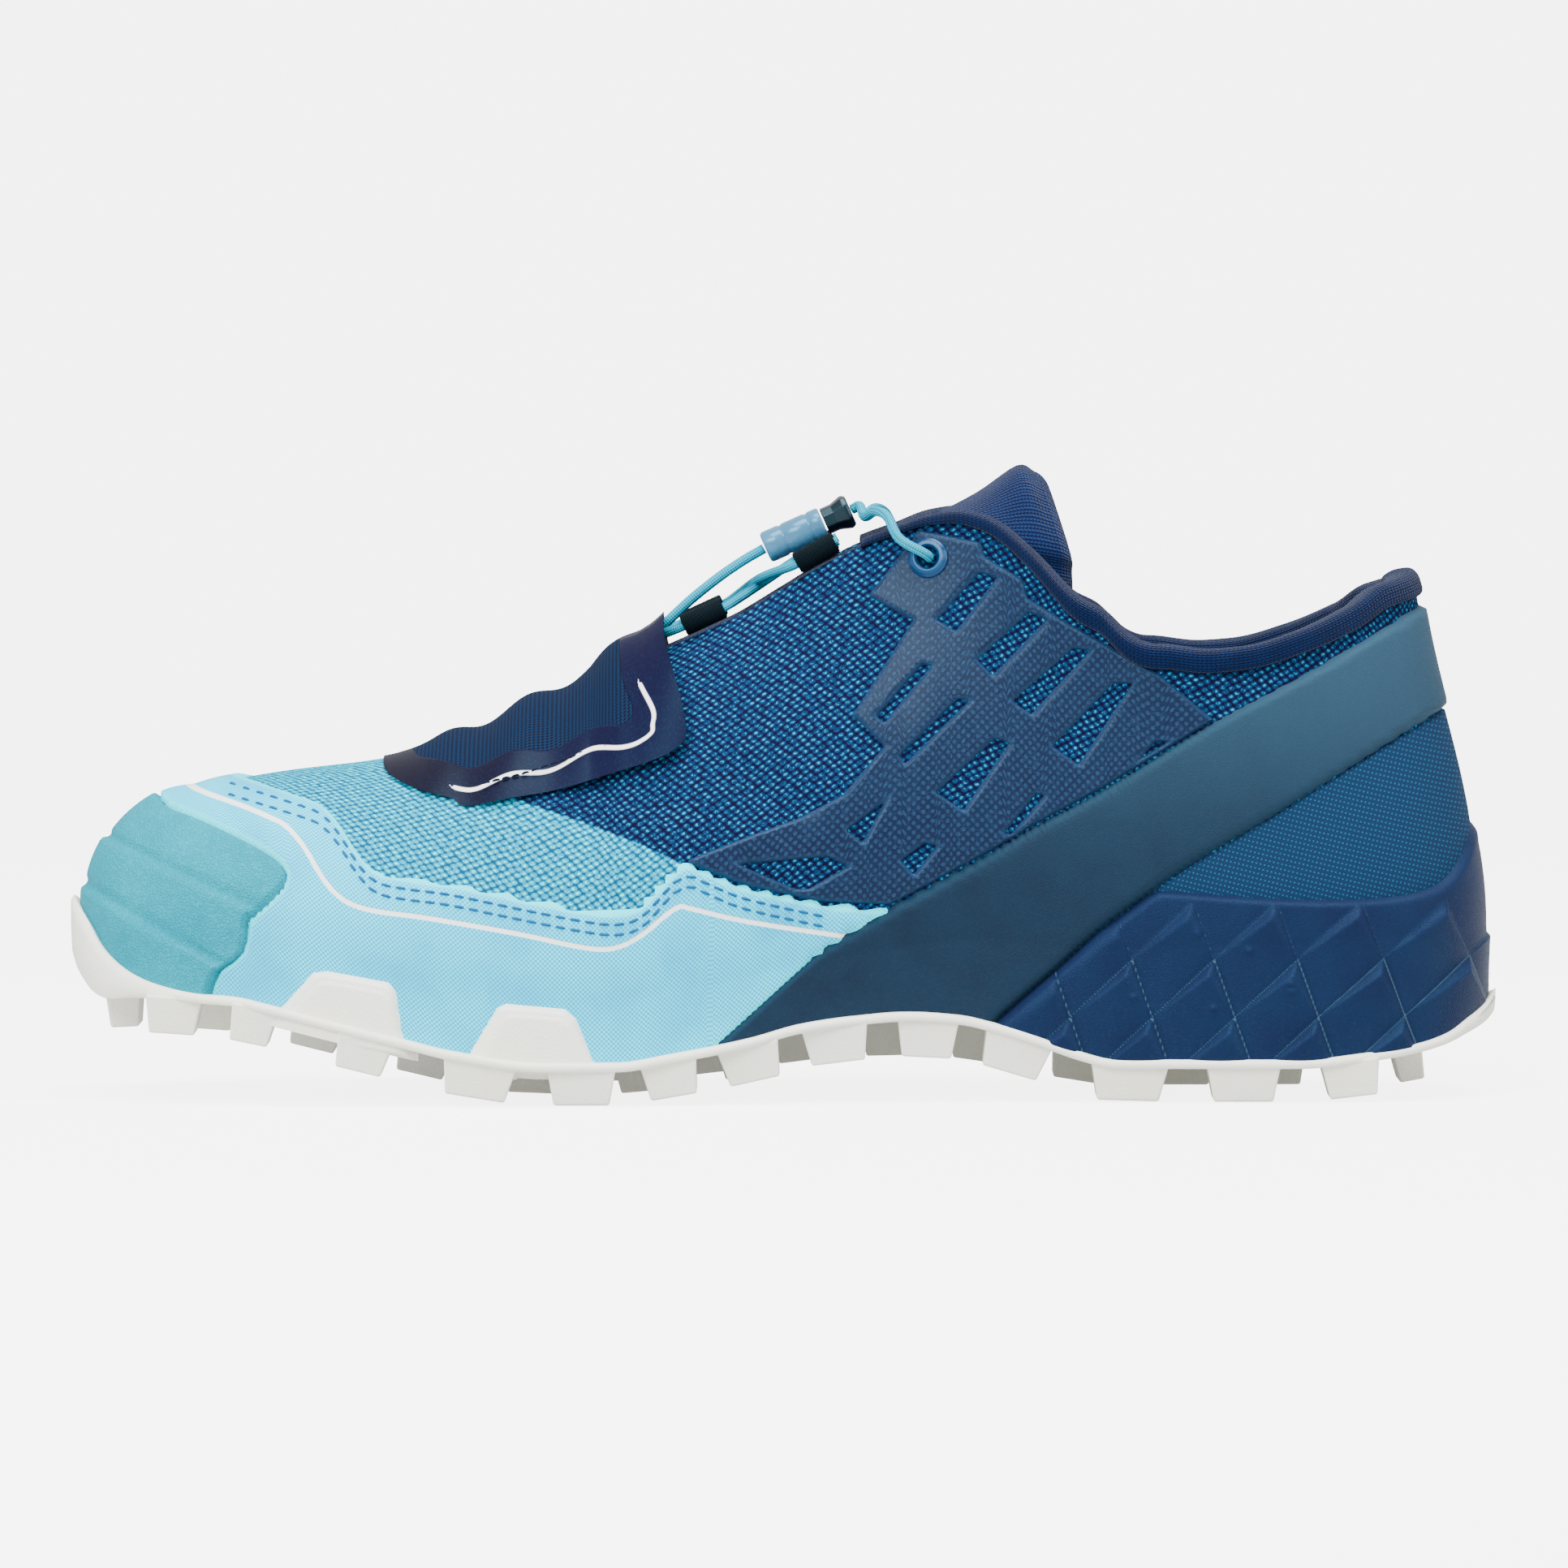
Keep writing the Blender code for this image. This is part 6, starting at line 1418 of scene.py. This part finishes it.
# Padded knit under the throat; its sections follow the edges, its free end stands up.
def makeTongue():
    shares = np.linspace(shoe["throatFront"] + 0.02, collar["front"] + 0.008, tongue["sections"])
    sections = []
    for share in shares:
        turn = turnAt(share)
        near = float(np.clip((share - 0.5) / 0.05, 0, 1))
        inset = shoe["wall"] + tongue["gap"] + near * tongue["tuck"]
        left, right = columnFrame(-turn), columnFrame(turn)
        a = [downColumn(left, d, -inset) for d in tongue["down"]]
        b = [downColumn(right, d, -inset) for d in tongue["down"][::-1]]
        middle = (a[-1] + b[0]) / 2
        middle[2] = left[1][0, 2] + tongue["crown"]
        near, far = 0.45 * a[-1] + 0.55 * middle, 0.45 * b[0] + 0.55 * middle
        near[2] = far[2] = 0.25 * a[-1][2] + 0.75 * middle[2]
        sections.append(np.array(a + [near, middle, far] + b))
    last = sections[-1]
    centre = last[4]
    for run, rise, half in tongue["end"]:
        moved = last.copy()
        spread = (last[:, 1] - centre[1]) / np.abs(last[0, 1] - centre[1])
        arch = 1 - np.abs(spread) ** 2
        moved[:, 1] = centre[1] + spread * half * shoe["ballWidth"]
        moved[:, 0] = last[:, 0] + run * tongue["overhang"] - tongue["bow"] * arch * run**2
        moved[:, 2] = last[:, 2] + (rise * arch - run * tongue["droop"] * (1 - arch)) * tongue["rise"]
        sections.append(moved)
    profiles = []
    for section in sections:
        run = np.gradient(section, axis=0)
        normal = np.stack([np.zeros(len(run)), -run[:, 2], run[:, 1]], axis=1)
        normal /= np.linalg.norm(normal, axis=1)[:, None]
        end = smooth((len(profiles) - len(shares)) / 2 + 1)
        profiles.append(np.concatenate([section,
                                        (section - normal * tongue["thick"] * (1 + tongue["swell"] * end))[::-1]]))
    outer, inner = profiles[-1][:9], profiles[-1][:8:-1]
    way = outer - profiles[-2][:9]
    way /= np.linalg.norm(way, axis=1)[:, None]
    half, centre = (outer - inner) / 2, (outer + inner) / 2
    for angle in (25, 50, 72, 88):
        out, back = math.sin(math.radians(angle)), math.cos(math.radians(angle))
        moved = centre + way * np.linalg.norm(half, axis=1)[:, None] * out
        profiles.append(np.concatenate([moved + half * back, (moved - half * back)[::-1]]))
    piece = closedGrid("tongueKnit", easedBothWays(profiles, 4, 5))
    return settle(piece, ["tongue"], knitMaterial("tongueKnit", srgb(2, 4, 39), srgb(14, 35, 77), 1.0))


loop = {"length": 0.0085, "width": 0.0062, "tall": 0.0042, "wall": 0.0008, "inset": 0.0019, "lift": 0.0006,
        "stations": (0.446, 0.528)}


def throatEdge(share, side):
    return wallAt([side * turnAt(share)], [1.0])[0, 0]


# Middle of a loop, the way along the throat's edge and the way square to it.
def loopFrame(number, side):
    station = loop["stations"][number]
    along = throatEdge(station + 0.01, side) - throatEdge(station - 0.01, side)
    along[1] = 0
    along /= np.linalg.norm(along)
    up = np.array([-along[2], 0, along[0]])
    centre = throatEdge(station, side) + (0, -side * loop["inset"], 0)
    return centre + up * (loop["tall"] / 2 + loop["lift"]), along, up


# A flattened tube of webbing, open along the shoe, with rounded rims.
def makeLoop(number, side, word, material):
    centre, along, up = loopFrame(number, side)
    wide = np.array([0, 1.0, 0])
    shape = [(inset * loop["wall"], end * loop["length"] / 2)
             for inset, end in ((0, -0.94), (0, 0), (0, 0.94), (0.3, 1), (0.7, 1), (1, 0.94), (1, 0), (1, -0.94),
                                (0.7, -1), (0.3, -1))]
    turns = np.linspace(0, 2 * math.pi, 41)
    rings = []
    for turn in turns:
        c, s = math.cos(turn), math.sin(turn)
        c, s = math.copysign(abs(c) ** 0.8, c), math.copysign(abs(s) ** 0.8, s)
        rings.append([centre + wide * c * (loop["width"] / 2 - i) + up * s * (loop["tall"] / 2 - i) + along * e
                      for i, e in shape])
    piece = closedGrid(f"laceLoop{number + 1}{word.title()}", np.array(rings), False)
    return settle(piece, [f"lace_loop_{number + 1}_{word}"], material)


lace = {"start": 0.405, "rise": 0.003}
cords = {"crossing": 0.57, "thick": 0.0019,
         "tail": ((-0.0078, 0.0018, 0.1026), (-0.0125, 0.0022, 0.0994), (-0.018, 0.0024, 0.095),
                  (-0.0235, 0.0022, 0.0899), (-0.028, 0.002, 0.0862))}


# Two strands from under the cover through the loops, crossing between them.
def makeLace(material):
    tubes = []
    for side in (-1, 1):
        first, firstAlong, _ = loopFrame(0, side)
        second, secondAlong, _ = loopFrame(1, -side)
        reach = loop["length"] / 2 + 0.0006
        middle = (first + second) / 2
        middle[2] = throatEdge(sum(loop["stations"]) / 2, -1)[2] + lace["rise"] + side * 0.0006
        start = throatEdge(lace["start"], side) * (1, 0.55, 1) + (0, 0, lace["rise"])
        route = eased([start, first - firstAlong * reach, first, first + firstAlong * reach, middle,
                           second - secondAlong * reach, second, second + secondAlong * reach], 6)
        tubes.append(closedGrid(f"strand{side}", tubeRings(route, cords["thick"] / 2, 20)))
    piece = joined("laceStrands", tubes)
    return settle(piece, ["lace"], material)


lock = {"length": 0.0122, "tall": 0.0062, "wide": 0.0096, "button": 0.0055, "foot": (-0.0036, 0, 0.105),
        "head": (0.0128, 0, 0.1123), "gap": 0.0003, "buttonBevel": 0.00022}


def lockFrame():
    foot, head = np.array(lock["foot"]), np.array(lock["head"])
    along = (head - foot) / np.linalg.norm(head - foot)
    return foot, along, np.array([0, 1.0, 0]), np.array([-along[2], 0, along[0]])


# Super-ovals along the lock: distance along, height and width; the power squares them off.
def ovalPiece(name, rings, sides, power):
    foot, along, wide, up = lockFrame()
    turns = 2 * math.pi * (np.arange(sides) + 0.5) / sides
    c, s = (np.sign(v) * np.abs(v) ** (2 / power) for v in (np.cos(turns), np.sin(turns)))
    profiles = [foot + along * distance + wide * c[:, None] * broad / 2 + up * s[:, None] * tall / 2
                for distance, tall, broad in rings]
    return closedGrid(name, np.array(profiles))


def makeLock():
    tall, wide, long = lock["tall"], lock["wide"], lock["length"]
    rings = [(0.0, 0.55, 0.55), (0.0, 0.86, 0.9), (0.02, 0.95, 0.96), (0.05, 1.0, 1.0), (0.3, 1.0, 1.0),
             (0.32, 0.94, 0.96),
             (0.36, 0.94, 0.96), (0.38, 1.0, 1.0), (0.74, 1.0, 1.0), (0.76, 0.94, 0.96), (0.8, 0.94, 0.96),
             (0.82, 1.0, 1.0),
             (0.96, 1.0, 1.0), (0.99, 0.96, 0.97), (1.0, 0.88, 0.9), (1.0, 0.6, 0.6)]
    barrel = ovalPiece("lockBarrel", [(d * long, t * tall, b * wide) for d, t, b in rings], 72, 2.6)
    start, button = long + lock["gap"], lock["button"]
    rings = [(0.0, 0.5, 0.5), (0.0, 0.86, 0.86), (0.4, 0.86, 0.86), (0.48, 0.9, 0.88), (0.8, 1.08, 0.99),
             (0.88, 1.08, 0.99),
             (1.0, 0.94, 0.9), (1.0, 0.4, 0.4)]
    knob = ovalPiece("lockButton", [(start + d * button, t * tall, b * wide) for d, t, b in rings], 10, 3.0)
    smoothFaces(knob.data, False)
    modified(knob, "BEVEL", width=lock["buttonBevel"], segments=2, limit_method="ANGLE", angle_limit=math.radians(20))
    knob = baked(knob)
    settle(barrel, ["cord_lock_barrel"],
           plasticMaterial("lockBarrelPlastic", srgb(44, 104, 142), srgb(96, 156, 190), 0.22, 0.3))
    settle(knob, ["cord_lock_button"],
           plasticMaterial("lockButtonPlastic", srgb(2, 3, 3), srgb(10, 17, 19), 0.4))
    return barrel, knob


# Free cords: lock to eyelets, and lock to under the cover.
def makeCords(material, lockPieces):
    foot, along, wide, _ = lockFrame()
    tip = foot + along * (lock["length"] + lock["gap"] + lock["button"])
    thick = cords["thick"]
    for side, word in ((-1, "medial"), (1, "lateral")):
        centre, axis = eyeletPlace(side)
        edge = throatEdge(cords["crossing"], side)
        points = [
            tip + along * 0.0003 + wide * side * thick * 0.6, tip + along * thick + wide * side * thick,
            edge * (1, 0.35, 1) + (-0.003, 0, 0.004), edge + (-0.001, -side * 0.003, 0.0052),
            edge + (0.0012, side * 0.0022, 0.0042), (edge + centre) / 2 + axis * 0.0046 + (0, 0, 0.0012),
            centre + axis * 0.0034 + (0, 0, 0.0004), centre - axis * 0.0012,
        ]
        tail = [foot - along * 0.0003 + wide * side * 0.0016] + [(x, side * y, z) for x, y, z in cords["tail"]]
        for end, line in (("top", points), ("tail", tail)):
            route = eased(line, 6)
            piece = closedGrid(f"cord{end.title()}{word.title()}", tubeRings(route, thick / 2, 20))
            settle(piece, [f"cord_{end}_{word}"], material)


# Thread of the double row under the rand's edge, the cover's edge and its corner.
def makeSeams():
    rows = [[(x, z - down) for x, z in marks(randEdge[:-1])] for down in seams["randRows"]]
    lines = [[tuple(p) for p in eased(line, 3)] for line in rows]
    piece = seamPiece("randStitches", seam(lines, rand["thick"] + 0.0002, 0.0028, 0.0021, 0.00028))
    lines = [[tuple(p) for p in eased(line, 3)] for line in seams["cover"]]
    dark = seamPiece("coverStitches", seam(lines, cover["thick"] + 0.0008, 0.0019, 0.0015, 0.00024))
    settle(dark, [], threadMaterial("coverThread", srgb(2, 3, 28)))
    settle(piece, [], threadMaterial("randThread", srgb(2, 75, 119)))


seams = {"randRows": (0.0021, 0.004),
         "cover": (((-0.0574, 0.0591), (-0.048, 0.0615), (-0.0377, 0.0652), (-0.0292, 0.0676), (-0.0242, 0.069)),
                   ((-0.0251, 0.0706), (-0.0204, 0.0729)), ((-0.0204, 0.0726), (-0.0201, 0.0695)),
                   ((-0.0204, 0.0695), (-0.0251, 0.0673)))}


placeCamera()
placeLight()
placeSweep()
print("camera, light and floor placed")
cordCloth = braidMaterial("cordBraid", srgb(2, 116, 146), srgb(20, 168, 196), 0.7)
webbing = braidMaterial("loopWebbing", srgb(2, 3, 3), srgb(8, 14, 18), 0.6)
makeCords(cordCloth, makeLock())
makeLace(cordCloth)
eyeletPlastic = plasticMaterial("eyeletPlastic", srgb(2, 28, 65), srgb(2, 49, 92), 0.35)
for side, word in ((-1, "medial"), (1, "lateral")):
    makeEyelet(side, word, eyeletPlastic)
    makeSaddle(side, word)
    for number in range(2):
        makeLoop(number, side, word, webbing)
makeUpper()
makeRand()
makeToeCap()
makeBand()
makeCounter()
makeCover()
makeMidsole()
makeOutsole()
makeCollar()
makeTongue()
makeSeams()
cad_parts["insole"].data.materials.clear()
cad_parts["insole"].data.materials.append(insoleMaterial())
